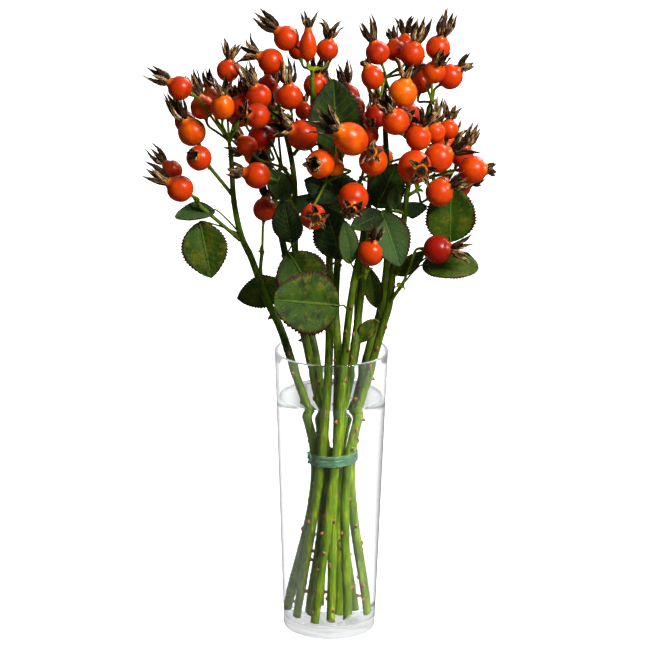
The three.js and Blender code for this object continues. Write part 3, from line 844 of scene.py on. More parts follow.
@dataclass(frozen=True)
class BarkFinish(Finish):
    """Rose bark: green with pale streaks, brown rings and lenticels, and a pale cut end."""

    name: str = "rose_bark"
    shade_green: Colour = (0.020, 0.044, 0.001, 1)
    green: Colour = (0.085, 0.150, 0.003, 1)
    lit_green: Colour = (0.29, 0.37, 0.015, 1)
    brown: Colour = (0.16, 0.065, 0.02, 1)
    pith: Colour = (0.62, 0.60, 0.38, 1)

    def shade(self, sheet: Sheet) -> Socket:
        """Builds the bark.

        Args:
            sheet: the material\'s sheet.

        Returns:
            The shader.
        """
        where = sheet.place()
        streak = sheet.grain(where, (1, 1, 0.06), 900.0, 0.3, 0.7)
        cloud = sheet.grain(where, (1, 1, 0.4), 90.0, 0.3, 0.7)
        dots = sheet.grain(where, (1, 1, 0.5), 700.0, 0.70, 0.76)
        tone = sheet.maths("MULTIPLY_ADD", cloud, 0.4, sheet.mark("tone"))
        tone = sheet.maths("MULTIPLY_ADD", streak, 0.35, tone)
        colour = sheet.three_tone(tone, self.shade_green, self.green, self.lit_green)
        worn = sheet.maths("MAXIMUM", sheet.maths("MULTIPLY", dots, 0.7), sheet.mark("scar"))
        colour = sheet.mix(worn, colour, self.brown)
        colour = sheet.mix(sheet.mark("cut"), colour, self.pith)
        normal = sheet.bump(sheet.maths("MULTIPLY_ADD", dots, 0.6, streak), 0.22, 0.0006)
        return sheet.add("ShaderNodeBsdfPrincipled", {
            "Base Color": colour, "Roughness": sheet.ramp(cloud, 0.0, 1.0, 0.36, 0.55), "Normal": normal,
            "Specular IOR Level": 0.16, "Subsurface Weight": 0.06, "Subsurface Scale": 0.001}).outputs[0]


@dataclass(frozen=True)
class PrickleFinish(Finish):
    """Prickles and scars: brown at the foot and tan at the point."""

    name: str = "prickle"
    foot: Colour = (0.30, 0.115, 0.022, 1)
    point: Colour = (0.060, 0.017, 0.004, 1)

    def shade(self, sheet: Sheet) -> Socket:
        """Builds the horn.

        Args:
            sheet: the material\'s sheet.

        Returns:
            The shader.
        """
        cloud = sheet.grain(sheet.place(), (1, 1, 1), 1200.0, 0.3, 0.7)
        share = sheet.maths("MULTIPLY_ADD", sheet.mark("rise"), 0.9, -0.2)
        share = sheet.maths("MULTIPLY_ADD", cloud, 0.5, share)
        colour = sheet.mix(share, self.foot, self.point)
        return sheet.add("ShaderNodeBsdfPrincipled", {
            "Base Color": colour, "Roughness": sheet.ramp(cloud, 0.0, 1.0, 0.4, 0.65),
            "Normal": sheet.bump(cloud, 0.3, 0.0004)}).outputs[0]


@dataclass(frozen=True)
class LeafFinish(Finish):
    """Rose leaf: dark above and grey-green below, with pale veins, yellow blotches and a red-brown margin."""

    name: str = "rose_leaf"
    dark: Colour = (0.006, 0.018, 0.001, 1)
    green: Colour = (0.030, 0.075, 0.001, 1)
    yellow: Colour = (0.135, 0.130, 0.003, 1)
    under: Colour = (0.052, 0.105, 0.034, 1)
    vein: Colour = (0.10, 0.17, 0.010, 1)
    margin: Colour = (0.032, 0.007, 0.003, 1)
    stain: Colour = (0.020, 0.016, 0.002, 1)
    vein_pairs: float = 9.0

    def veins(self, sheet: Sheet, across: Socket, along: Socket) -> Socket:
        """Builds the mask of the midrib and the side veins.

        Args:
            sheet: the material's sheet.
            across: 0 at the midrib and 1 at the margin.
            along: 0 at the foot and 1 at the tip.

        Returns:
            The mask, 1 on a vein.
        """
        midrib = sheet.ramp(across, 0.05, 0.015)
        bent = sheet.maths("MULTIPLY", sheet.maths("POWER", across, 1.25), 0.3)
        turns = sheet.maths("MULTIPLY", sheet.maths("SUBTRACT", along, bent), self.vein_pairs)
        saw = sheet.maths("ABSOLUTE", sheet.maths("SUBTRACT", sheet.maths("FRACT", turns), 0.5))
        side = sheet.maths("MULTIPLY", sheet.ramp(saw, 0.06, 0.015), sheet.ramp(across, 1.0, 0.55, 0.15, 0.8))
        return sheet.maths("MAXIMUM", midrib, side)

    def shade(self, sheet: Sheet) -> Socket:
        """Builds the blade.

        Args:
            sheet: the material\'s sheet.

        Returns:
            The shader.
        """
        where = sheet.place()
        across = sheet.maths("ABSOLUTE", sheet.mark("across"))
        veins = self.veins(sheet, across, sheet.mark("along"))
        cloud = sheet.grain(where, (1, 1, 1), 70.0, 0.3, 0.7)
        blotch = sheet.grain(where, (1, 1, 1), 170.0, 0.5, 0.66)
        crackle = sheet.grain(where, (1, 1, 1), 1100.0, 0.3, 0.7)
        tone = sheet.maths("MULTIPLY_ADD", cloud, 0.5, sheet.maths("SUBTRACT", sheet.mark("tone"), 0.25))
        colour = sheet.three_tone(tone, self.dark, self.green, self.yellow)
        outer = sheet.ramp(across, 0.0, 0.85, 0.3, 1.0)
        mottled = sheet.maths("MULTIPLY", sheet.maths("MULTIPLY", blotch, outer), sheet.mark("blotch"))
        colour = sheet.mix(mottled, colour, self.yellow)
        under = sheet.mark("under")
        colour = sheet.mix(sheet.maths("MULTIPLY", under, 0.85), colour, self.under)
        colour = sheet.mix(sheet.maths("MULTIPLY", veins, 0.6), colour, self.vein)
        speckle = sheet.grain(where, (1, 1, 1), 520.0, 0.52, 0.74)
        worn = sheet.maths("MULTIPLY_ADD", sheet.mark("blotch"), 0.6, 0.15)
        stained = sheet.maths("MULTIPLY", speckle, worn)
        colour = sheet.mix(stained, colour, self.stain)
        edge = sheet.maths("MULTIPLY_ADD", crackle, 0.08, sheet.maths("MULTIPLY_ADD", cloud, 0.12, across))
        colour = sheet.mix(sheet.ramp(edge, 0.92, 1.04), colour, self.margin)
        height = sheet.maths("MULTIPLY_ADD", crackle, 0.4, sheet.maths("MULTIPLY", veins, -1.0))
        rough = sheet.ramp(under, 0.0, 1.0, 0.42, 0.75)
        return sheet.add("ShaderNodeBsdfPrincipled", {
            "Base Color": colour, "Roughness": rough, "Normal": sheet.bump(height, 0.6, 0.0009),
            "Specular IOR Level": 0.2}).outputs[0]


@dataclass(frozen=True)
class RaffiaFinish(Finish):
    """Dyed raffia: green fibres with pale threads."""

    name: str = "raffia"
    dark: Colour = (0.008, 0.045, 0.018, 1)
    green: Colour = (0.032, 0.125, 0.055, 1)
    pale: Colour = (0.20, 0.36, 0.20, 1)

    def shade(self, sheet: Sheet) -> Socket:
        """Builds the fibres.

        Args:
            sheet: the material\'s sheet.

        Returns:
            The shader.
        """
        lines = sheet.add("ShaderNodeCombineXYZ", {0: sheet.mark("across"), 1: sheet.mark("along"),
                                                   2: sheet.mark("seed")}).outputs[0]
        fibre = sheet.grain(lines, (5.0, 1.2, 9.0), 1.5, 0.28, 0.7)
        colour = sheet.three_tone(fibre, self.dark, self.green, self.pale)
        return sheet.add("ShaderNodeBsdfPrincipled", {
            "Base Color": colour, "Roughness": sheet.ramp(fibre, 0.0, 1.0, 0.55, 0.8),
            "Normal": sheet.bump(fibre, 0.6, 0.0004)}).outputs[0]


@dataclass(frozen=True)
class ClearFinish(Finish):
    """Glass or water that bends what is behind it and lets lamplight through."""

    name: str = "clear_glass"
    ior: float = 1.5
    tint: Colour = (1, 1, 1, 1)
    lamp_tint: Colour = (0.96, 0.97, 0.97, 1)
    ripple: float = 40.0
    ripple_height: float = 0.0001
    deepest: float = 6.5

    def shade(self, sheet: Sheet) -> Socket:
        """Builds the clear body.

        Args:
            sheet: the material\'s sheet.

        Returns:
            The shader.
        """
        wave = sheet.grain(sheet.place(), (1, 1, 0.35), self.ripple, 0.2, 0.8)
        clear = sheet.add("ShaderNodeBsdfPrincipled", {
            "Base Color": self.tint, "Roughness": 0.0, "IOR": self.ior, "Transmission Weight": 1.0,
            "Normal": sheet.bump(wave, 0.2, self.ripple_height)}).outputs[0]
        through = sheet.add("ShaderNodeBsdfTransparent", {"Color": self.lamp_tint}).outputs[0]
        paths = sheet.add("ShaderNodeLightPath").outputs
        trapped = sheet.maths("GREATER_THAN", paths["Ray Depth"], self.deepest)
        straight = sheet.maths("MAXIMUM", paths["Is Shadow Ray"], trapped)
        return sheet.add("ShaderNodeMixShader", {0: straight, 1: clear, 2: through}).outputs[0]


@dataclass(frozen=True)
class FloorFinish(Finish):
    """A plain white lit sheet that throws little light back up at the object."""

    name: str = "studio_floor"
    white: Colour = (0.90, 0.90, 0.90, 1)
    bright: Colour = (0.92, 0.92, 0.92, 1)
    dim: Colour = (0.22, 0.22, 0.22, 1)
    mirrored: Colour = (0.03, 0.03, 0.03, 1)
    glow: float = 0.82

    def shade(self, sheet: Sheet) -> Socket:
        """Builds the sheet.

        Args:
            sheet: the material\'s sheet.

        Returns:
            The shader.
        """
        incoming = sheet.add("ShaderNodeNewGeometry").outputs["Incoming"]
        way = sheet.add("ShaderNodeSeparateXYZ", {0: incoming}).outputs
        ahead = sheet.maths("MULTIPLY", way["Y"], -1.0)
        mirrored, level = sheet.within(ahead)
        through = sheet.direct("Is Transmission Ray")
        bent = sheet.maths("MULTIPLY", through, sheet.ramp(ahead, 0.3, 0.93, 0.3, 1.0))
        seen = sheet.maths("MAXIMUM", sheet.direct("Is Camera Ray"), bent)
        seen = sheet.maths("MAXIMUM", seen, sheet.maths("MULTIPLY", mirrored, level))
        cloud = sheet.grain(sheet.place(), (1, 1, 1), 3.0, 0.2, 0.8)
        paths = sheet.add("ShaderNodeLightPath").outputs
        extra = sheet.maths("SUBTRACT", paths["Glossy Depth"], paths["Diffuse Depth"])
        shiny = sheet.maths("GREATER_THAN", extra, 0.5)
        unlit = sheet.mix(shiny, self.dim, self.mirrored)
        colour = sheet.mix(seen, unlit, sheet.mix(cloud, self.white, self.bright))
        return sheet.add("ShaderNodeBsdfPrincipled", {
            "Base Color": colour, "Roughness": 0.9, "Specular IOR Level": 0.1, "Emission Color": (1, 1, 1, 1),
            "Emission Strength": sheet.maths("MULTIPLY", seen, self.glow)}).outputs[0]


HIP_SKIN = HipSkin()
SEPAL = SepalFinish()
BARK = BarkFinish()
PRICKLE = PrickleFinish()
BLADE = LeafFinish()
RAFFIA = RaffiaFinish()
GLASS = ClearFinish()
WATER = ClearFinish(name="clear_water", ior=1.333, tint=(0.985, 1.0, 0.992, 1),
                    lamp_tint=(0.985, 0.99, 0.988, 1), ripple=60.0, ripple_height=0.0002)
FLOOR = FloorFinish()


# ---------------------------------------------------------------- vase, water and tie

@dataclass
class Vase:
    """The tall glass, its thick foot and its water."""

    base_radius: float = 36.5 * MM
    wall: float = 2.2 * MM
    foot: float = 10 * MM
    bevel: float = 3 * MM
    sides: int = 120
    overlap: float = 0.12 * MM
    meniscus: float = 1.3 * MM
    low: Triple = field(default_factory=lambda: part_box("vase")[0])
    high: Triple = field(default_factory=lambda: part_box("vase")[1])
    level: float = field(default_factory=lambda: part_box("water")[1][2])

    def outer(self, z: float) -> float:
        """Outer radius at a height."""
        rim = self.high[0]
        return self.base_radius + (rim - self.base_radius) * z / self.high[2]

    def inner(self, z: float) -> float:
        """Inner radius at a height."""
        return self.outer(z) - self.wall

    def turn(self, profile: list[tuple[float, float]]) -> Shell:
        """Turns a profile that starts and ends on the axis.

        Args:
            profile: radius and height pairs.

        Returns:
            The turned shell.
        """
        shell = Shell()
        turns = np.arange(self.sides) * 2 * math.pi / self.sides
        rings = [(np.cos(turns) * r, np.sin(turns) * r, np.full(self.sides, z)) for r, z in profile[1:-1]]
        points = np.concatenate([np.stack(ring, axis=1) for ring in rings]
                                + [np.array([[0, 0, profile[0][1]], [0, 0, profile[-1][1]]])])
        shell.add(points, tube_faces(len(rings), self.sides))
        return shell

    @staticmethod
    def bend(centre: tuple[float, float], radius: float, start: float, end: float,
             steps: int = 6) -> list[tuple[float, float]]:
        """Draws an arc.

        Args:
            centre: its centre's radius and height.
            radius: its own radius.
            start: its first angle, in degrees.
            end: its last angle, in degrees.
            steps: how many points it has.

        Returns:
            The arc's points.
        """
        angles = [math.radians(a) for a in np.linspace(start, end, steps)]
        return [(centre[0] + radius * math.cos(a), centre[1] + radius * math.sin(a)) for a in angles]

    def build_glass(self) -> bpy.types.Object:
        """Builds the glass.

        Returns:
            The piece.
        """
        top, lip, edge = self.high[2], self.wall / 2, self.bevel
        walls = list(np.linspace(edge, top - lip, 26))
        profile = [(0.0, 0.0), (self.base_radius * 0.5, 0.0)]
        profile += self.bend((self.outer(edge) - edge, edge), edge, -90, 0)
        profile += [(self.outer(z), z) for z in walls[1:-1]]
        profile += self.bend((self.outer(top) - lip, top - lip), lip, 0, 180, 9)
        floor = self.foot + edge
        inside = list(np.linspace(top - lip, floor, 26))
        profile += [(self.inner(z), z) for z in inside[1:-1]]
        profile += self.bend((self.inner(floor) - edge, floor), edge, 0, -90)
        profile += [(self.base_radius * 0.4, self.foot), (0.0, self.foot)]
        return self.turn(profile).piece("vase_glass", GLASS.material, "glass", "vase")

    def build_water(self) -> bpy.types.Object:
        """Builds the water, which meets the glass all over and climbs a little at its edge.

        Returns:
            The piece.
        """
        edge, over, top = self.bevel, self.overlap, self.level
        floor = self.foot + edge
        profile = [(0.0, self.foot - over), (self.base_radius * 0.4, self.foot - over)]
        profile += self.bend((self.inner(floor) - edge, floor), edge + over, -90, 0)
        profile += [(self.inner(z) + over, z) for z in np.linspace(floor, top + self.meniscus, 24)[1:]]
        for share in (0.1, 0.25, 0.5, 0.8, 1.3, 2.0, 3.2):
            climb = self.meniscus * math.exp(-2.2 * share)
            profile.append((self.inner(top) - share * self.meniscus * 1.4, top + climb))
        profile += [(self.inner(top) * 0.5, top), (0.0, top)]
        return self.turn(profile).piece("water_body", WATER.material, "water", "water")


@dataclass
class Grip:
    """Where the canes stand together in the vase."""

    cane_radius: float = 3.3
    centre: tuple[float, float] = (2.0, -19.0)
    outer: float = 12.5
    inner: float = 5.0
    foot_level: float = 12.5
    vase_height: float = field(default_factory=lambda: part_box("vase")[1][2] / MM)
    tie_level: float = field(default_factory=lambda: (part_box("tie")[0][2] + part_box("tie")[1][2]) / 2 / MM)

    def points(self, cane: Cane) -> list[np.ndarray]:
        """Works out where a cane stands in the vase.

        Args:
            cane: the cane.

        Returns:
            Its foot, its place at the tie and its place at the rim, in metres.
        """
        turn = math.radians(cane.grip)
        reach = self.inner if cane.inner else self.outer
        return [place((*cane.foot, self.foot_level)),
                self.middle() + place((reach * math.cos(turn), reach * math.sin(turn), 0.0)),
                place((*cane.mouth, self.vase_height))]

    def middle(self) -> np.ndarray:
        """Returns the centre of the tie, in metres."""
        return place((*self.centre, self.tie_level))


@dataclass
class Tie:
    """Strands of raffia wound round the canes and knotted at the left."""

    grip: Grip
    strands: int = 6
    spread: float = 3.4 * MM
    strand_width: float = 1.15 * MM
    strand_thickness: float = 0.28 * MM
    knot_turn: float = math.radians(200)

    def ribbon(self, shell: Shell, path: np.ndarray, width: float, seed: float, first: np.ndarray) -> None:
        """Adds one flat strand.

        Args:
            shell: the shell to add to.
            path: the strand's route.
            width: half its width.
            seed: which noise it uses.
            first: the way its flat side faces.
        """
        rows = len(path)
        turns = np.arange(8) * 2 * math.pi / 8
        share = np.linspace(0, 1, rows)
        sections = np.empty((rows, 8, 2))
        for i, s in enumerate(share):
            half = width * (1 + 0.25 * wobble(seed, s, 9)) * (1 - 0.6 * max(0.0, s - 0.85) / 0.15 * 0.5)
            sections[i, :, 0] = self.strand_thickness * np.sin(turns)
            sections[i, :, 1] = half * np.cos(turns)
        shell.loft(path, sections, first, across=np.cos(turns)[None], along=share[:, None] * 12, seed=seed)

    def wind(self, number: int) -> np.ndarray:
        """Winds one strand round the canes, a little closer between them.

        Args:
            number: which strand it is, counted from the lowest.

        Returns:
            The strand's route.
        """
        height = self.spread * (2 * number / (self.strands - 1) - 1)
        reach = (self.grip.outer + self.grip.cane_radius + 0.35) * MM + 0.12 * MM * (number % 3)
        first_cane = math.radians(CANES[0].grip)
        route = []
        for t in np.linspace(self.knot_turn, self.knot_turn + 2 * math.pi * 1.02, 110):
            radius = reach + 0.35 * MM * math.cos(OUTER_CANES * (t - first_cane))
            rise = height + 1.1 * MM * math.cos(t) + 0.5 * MM * math.sin(t + number)
            rise += 0.3 * MM * wobble(number + 3.0, t, 1.3)
            route.append((radius * math.cos(t), radius * math.sin(t), rise))
        return self.grip.middle() + np.array(route)

    def build(self) -> bpy.types.Object:
        """Builds the wound band, its knot and its tails.

        Returns:
            The piece.
        """
        shell = Shell()
        start = np.array((math.cos(self.knot_turn), math.sin(self.knot_turn), 0))
        for number in range(self.strands):
            self.ribbon(shell, self.wind(number), self.strand_width, number + 1.0, start)
        self.knot(shell)
        return shell.piece("raffia_tie", RAFFIA.material, "raffia", "tie")

    def knot(self, shell: Shell) -> None:
        """Adds the knot's turns and its frayed tails.

        Args:
            shell: the shell to add to.
        """
        out = np.array((math.cos(self.knot_turn), math.sin(self.knot_turn), 0.0))
        side = np.array((-out[1], out[0], 0.0))
        centre = self.grip.middle() + out * (self.grip.outer + self.grip.cane_radius + 1.4) * MM
        for k, tilt in enumerate((0.5, -0.6, 1.5)):
            turns = np.linspace(0, 2 * math.pi * 1.05, 40)
            axis = math.cos(tilt) * UP + math.sin(tilt) * side
            other = np.cross(out, axis)
            path = np.array([centre + 2.3 * MM * math.sin(t) * axis + 1.1 * MM * math.cos(t) * out
                             + 0.5 * MM * math.sin(2 * t) * other for t in turns])
            self.ribbon(shell, path, 0.9 * MM, 20.0 + k, out)
        for k, (lift, reach) in enumerate(((5.5, 1.0), (-4.5, 1.6), (3.0, 2.6), (-1.5, 2.2), (6.5, 2.4))):
            bends = [centre, centre + out * 1.2 * MM + UP * lift * 0.4 * MM + side * (k - 2) * 0.5 * MM,
                     centre + out * reach * MM + UP * lift * MM + side * (k - 2) * 1.4 * MM]
            self.ribbon(shell, smooth_route(bends, 0.4 * MM), 0.7 * MM, 30.0 + k, side)


# ---------------------------------------------------------------- sprigs

@dataclass
class CaneBuilder:
    """Builds canes with their rings, scars and prickles."""

    grip: Grip
    sides: int = 20
    step: float = 1.6 * MM
    foot_radius: float = 3.3 * MM
    tip_radius: float = 1.9 * MM
    ring_spacing: float = 43 * MM
    slanted_rows: int = 4
    thorn_share: float = 0.3

    def radius_at(self, z: float, top: float) -> float:
        """Works out how thick a cane is.

        Args:
            z: the height.
            top: the height of the cane's tip.

        Returns:
            Its radius there.
        """
        mouth = self.grip.vase_height * MM
        share = min(1.0, max(0.0, (z - mouth) / (top - mouth)))
        return self.foot_radius + (self.tip_radius - self.foot_radius) * share

    def build(self, cane: Cane, number: int) -> None:
        """Builds one cane and its prickles.

        Args:
            cane: its place and route.
            number: which cane it is, for its own noise.
        """
        path = smooth_route(self.grip.points(cane) + [place(p) for p in cane.route], self.step)
        rows = len(path)
        turns = np.arange(self.sides) * 2 * math.pi / self.sides
        lengths = np.concatenate(([0], np.cumsum(np.linalg.norm(np.diff(path, axis=0), axis=1))))
        spacing = self.ring_spacing + 5 * MM * wobble(number, 1, 1)
        offset = (17 + 5 * (number % 4)) * MM
        sections = np.empty((rows, self.sides, 2))
        scar = np.zeros((rows, self.sides))
        for i, run in enumerate(lengths):
            radius = self.radius_at(path[i][2], path[-1][2])
            near = abs((run - offset + spacing / 2) % spacing - spacing / 2)
            ring = math.exp(-(near / (1.6 * MM)) ** 2)
            scar[i] = 0.45 * math.exp(-(near / (0.7 * MM)) ** 2)
            swell = radius * (1 + 0.09 * ring + 0.035 * wobble(number + 11.0, run, 60))
            ribs = 1 + 0.02 * np.cos(5 * turns + number + 4 * wobble(number, run, 12))
            sections[i] = np.stack((np.cos(turns), np.sin(turns)), axis=1) * (swell * ribs)[:, None]
        slope = 0.5 * (1 + math.sin(number * 2.4))
        foot_way = number * 1.9
        sides, others = carried_frames(path)
        shell = Shell()
        # The canes' tone is raised below the rim and lowered above it.
        below_rim = np.clip((self.grip.vase_height * MM - path[:, 2]) / (60 * MM), 0, 1)
        tone = 0.24 * below_rim - 0.12 + 0.05 * (number % 3)
        shell.loft(path, sections, scar=scar, cut=0.0, tone=tone[:, None])
        ring_points = shell.points[0]
        lift = slope * self.foot_radius * (1 + np.cos(turns - foot_way))
        way = unit(path[1] - path[0])
        for row in range(self.slanted_rows):
            fade = 1 - row / self.slanted_rows
            ring_points[row * self.sides:(row + 1) * self.sides] += way[None] * (lift * fade)[:, None]
        ring_points[rows * self.sides] += way * slope * self.foot_radius
        self.cut_face(shell, ring_points[:self.sides].copy(), way)
        shell.piece(f"{cane.name}_bark", BARK.material, "bark", cane.name)
        self.prickles(cane, number, path, lengths, (sides, others))

    def cut_face(self, shell: Shell, ring: np.ndarray, way: np.ndarray) -> None:
        """Adds the pale pith over the slanting foot.

        Args:
            shell: the shell to add to.
            ring: the foot's rim.
            way: the way up the cane.
        """
        centre = ring.mean(0)
        inner = centre + (ring - centre) * 0.86 - way * 0.15 * MM
        back = centre + (ring - centre) * 0.86 + way * 0.3 * MM
        n = self.sides
        middles = np.array((centre - way * 0.15 * MM, centre + way * 0.3 * MM))
        points = np.concatenate((inner, back, middles))
        faces = [(j, n + j, n + (j + 1) % n, (j + 1) % n) for j in range(n)]
        faces += [(2 * n, j, (j + 1) % n) for j in range(n)]
        faces += [(2 * n + 1, n + (j + 1) % n, n + j) for j in range(n)]
        shell.add(points, faces, scar=0.0, cut=1.0, tone=0.3)

    def prickles(self, cane: Cane, number: int, path: np.ndarray, lengths: np.ndarray,
                 frames: tuple[np.ndarray, np.ndarray]) -> None:
        """Builds the cane's prickles and scars as one piece.

        Args:
            cane: the cane.
            number: which cane it is, for its own random numbers.
            path: the samples of its middle line.
            lengths: the length run at each sample.
            frames: the two side directions at each sample.
        """
        draw = np.random.default_rng(100 + number)
        shell = Shell()
        sides, others = frames
        run = (6 + 9 * draw.random()) * MM
        while run < lengths[-1] - 8 * MM:
            i = int(np.searchsorted(lengths, run))
            turn = draw.random() * 2 * math.pi
            out = math.cos(turn) * sides[i] + math.sin(turn) * others[i]
            along = unit(path[min(i + 1, len(path) - 1)] - path[i - 1])
            radius = self.radius_at(path[i][2], path[-1][2])
            thorn = draw.random() < self.thorn_share
            self.prickle(shell, path[i] + out * radius * 0.95, out, along, thorn, draw)
            low = path[i][2] < self.grip.vase_height * MM
            run += (7 + 14 * draw.random()) * MM * (1.0 if low else 1.9)
        shell.piece(f"{cane.name}_prickles", PRICKLE.material, "bark")

    @staticmethod
    def prickle(shell: Shell, foot: np.ndarray, out: np.ndarray, along: np.ndarray, thorn: bool,
                draw: np.random.Generator) -> None:
        """Adds one hooked thorn, or one low oval scar.

        Args:
            shell: the shell to add to.
            foot: the middle of its foot.
            out: the way out of the cane.
            along: the way up the cane.
            thorn: True for a thorn.
            draw: the cane's own random numbers.
        """
        height = (2.4 + 1.6 * draw.random()) * MM if thorn else (1.0 + 0.5 * draw.random()) * MM
        wide, long = (0.9, 1.9) if thorn else (1.25 + 0.5 * draw.random(), 1.8 + 0.9 * draw.random())
        shares = np.array((0.0, 0.25, 0.5, 0.75, 0.93, 1.0)) if thorn else np.array((0.0, 0.4, 0.75, 1.0))
        hook = 0.9 * MM if thorn else 0
        path = np.array([foot + out * height * s - along * (hook * s * s) for s in shares])
        shrink = (1 - shares) ** (0.75 if thorn else 0.5) + 0.05
        turns = np.arange(10) * 2 * math.pi / 10
        ring = np.stack((np.cos(turns) * long, np.sin(turns) * wide), axis=1) * MM
        shell.loft(path, shrink[:, None, None] * ring[None], along, rise=shares[:, None])


@dataclass
class TrussBuilder:
    """Builds the stalks, hips and calyxes of a truss."""

    sides: int = 30
    rows: int = 26
    stalk_radius: float = 1.5 * MM
    pedicel_radius: float = 1.05 * MM
    neck_radius: float = 0.36
    neck_height: float = 1.2
    bracts: int = 3
    stamens: int = 26
    sepal_rows: int = 16
    sepal_sides: int = 12

    def build(self, truss: Truss, number: int) -> None:
        """Builds one truss.

        Args:
            truss: its stalk and hips.
            number: which truss it is, for its own noise.
        """
        short = truss.name.removeprefix("truss_")
        draw = np.random.default_rng(500 + number)
        stalks = Shell()
        start, knuckle = place(truss.start), place(truss.knuckle)
        bow = unit(np.cross(knuckle - start, UP) + 1e-9) * 1.2 * MM
        path = smooth_route([start, (start + knuckle) / 2 + bow, knuckle], 1.2 * MM)
        share = np.linspace(0, 1, len(path))
        radii = self.stalk_radius * (1 + 0.15 * (share < 0.15) + 0.35 * np.exp(-((share - 1) / 0.08) ** 2))
        scar = 0.25 * np.exp(-((share - 1) / 0.05) ** 2)
        stalks.bar(path, radii, 12, tone=0.1, scar=scar[:, None], cut=0.0)
        for index, hip in enumerate(truss.hips):
            self.pedicel(stalks, knuckle, hip, number + 0.1 * index)
            self.skin(f"hip_{short}_{index + 1}", hip, number + index * 0.37)
            self.calyx(f"calyx_{short}_{index + 1}", hip, draw)
        for _ in range(self.bracts):
            self.bract(stalks, knuckle, draw)
        stalks.piece(f"stalks_{short}", BARK.material, "bark", truss.name)

    def pedicel(self, shell: Shell, knuckle: np.ndarray, hip: Hip, seed: float) -> None:
        """Adds the thin stalk of one hip, which swells where it meets the fruit.

        Args:
            shell: the shell to add to.
            knuckle: where the stalk starts.
            hip: the hip that it carries.
            seed: its own noise.
        """
        way = unit(np.array(hip.crown, float))
        at, radius = place(hip.at), hip.radius * MM
        height = radius * hip.tall
        end, bend = at - way * 0.93 * height, at - way * (height + 6 * MM)
        middle = knuckle + (bend - knuckle) * 0.55
        path = smooth_route([knuckle, middle, bend, end], 1.0 * MM)
        share = np.linspace(0, 1, len(path))
        at_hip, at_knuckle = np.exp(-((share - 1) / 0.07) ** 2), np.exp(-(share / 0.08) ** 2)
        radii = self.pedicel_radius * (1 + 0.9 * at_hip + 0.5 * at_knuckle)
        radii *= 1 + 0.05 * np.array([wobble(seed, s, 12) for s in share])
        shell.bar(path, radii, 9, tone=0.22 - 0.15 * hip.tone, scar=0.12 * share[:, None] * hip.tone, cut=0.0)

    @staticmethod
    def bract(shell: Shell, knuckle: np.ndarray, draw: np.random.Generator) -> None:
        """Adds a small dry bract.

        Args:
            shell: the shell to add to.
            knuckle: where it grows.
            draw: the truss's own random numbers.
        """
        way = unit(draw.normal(size=3) + UP * 0.4)
        length = (4 + 4 * draw.random()) * MM
        tip = knuckle + way * length - UP * 1.5 * MM
        path = smooth_route([knuckle, knuckle + way * length * 0.5, tip], 0.8 * MM)
        share = np.linspace(0, 1, len(path))
        turns = np.arange(8) * 2 * math.pi / 8
        half = 1.3 * MM * np.sin(math.pi * (0.15 + 0.83 * share))
        thick = np.full((len(path), 1), 0.22 * MM)
        sections = np.stack((half[:, None] * np.cos(turns)[None], thick * np.sin(turns)), axis=2)
        shell.loft(path, sections, tone=0.3, scar=0.5 * share[:, None], cut=0.0)

    def skin(self, name: str, hip: Hip, seed: float) -> None:
        """Builds one fruit with its short neck.

        Args:
            name: the piece's name.
            hip: its place, size and colouring.
            seed: its own noise.
        """
        way = unit(np.array(hip.crown, float))
        at, radius = place(hip.at), hip.radius * MM
        height = radius * hip.tall
        pear = 0.04 + 0.5 * max(0.0, hip.tall - 1.0)
        angles = np.linspace(0.10, 2.34, self.rows)
        profile = []
        for a in angles:
            narrowed = 1 - pear * ((1 - math.cos(a)) / 2) ** 2.2
            profile.append((math.sin(a) ** 0.94 * narrowed, -math.cos(a)))
        low_r, low_h = profile[-1]
        for share in (0.2, 0.4, 0.6, 0.8, 1.0):
            fall = 1 - (1 - share) ** 2
            profile.append((low_r + (self.neck_radius - low_r) * fall,
                            low_h + (self.neck_height - low_h) * share ** 1.2))
        profile += [(0.39, 1.25), (0.35, 1.28), (0.2, 1.24)]
        turns = np.arange(self.sides) * 2 * math.pi / self.sides
        path = np.array([at + way * height * h for _, h in profile])
        sections = np.empty((len(profile), self.sides, 2))
        for i, (r, h) in enumerate(profile):
            for j, t in enumerate(turns):
                dent = noise.noise(Vector((math.cos(t) * 1.3 + seed * 5, math.sin(t) * 1.3, h * 1.2 + seed)))
                reach = radius * r * (1 + 0.035 * dent)
                sections[i, j] = reach * math.cos(t), reach * math.sin(t)
        heights = np.array([h for _, h in profile])
        rise = (heights + 1) / (heights.max() + 1)
        shell = Shell()
        shell.loft(path, sections, rise=rise[:, None], tone=hip.tone)
        shell.piece(name, HIP_SKIN.material, "hip")

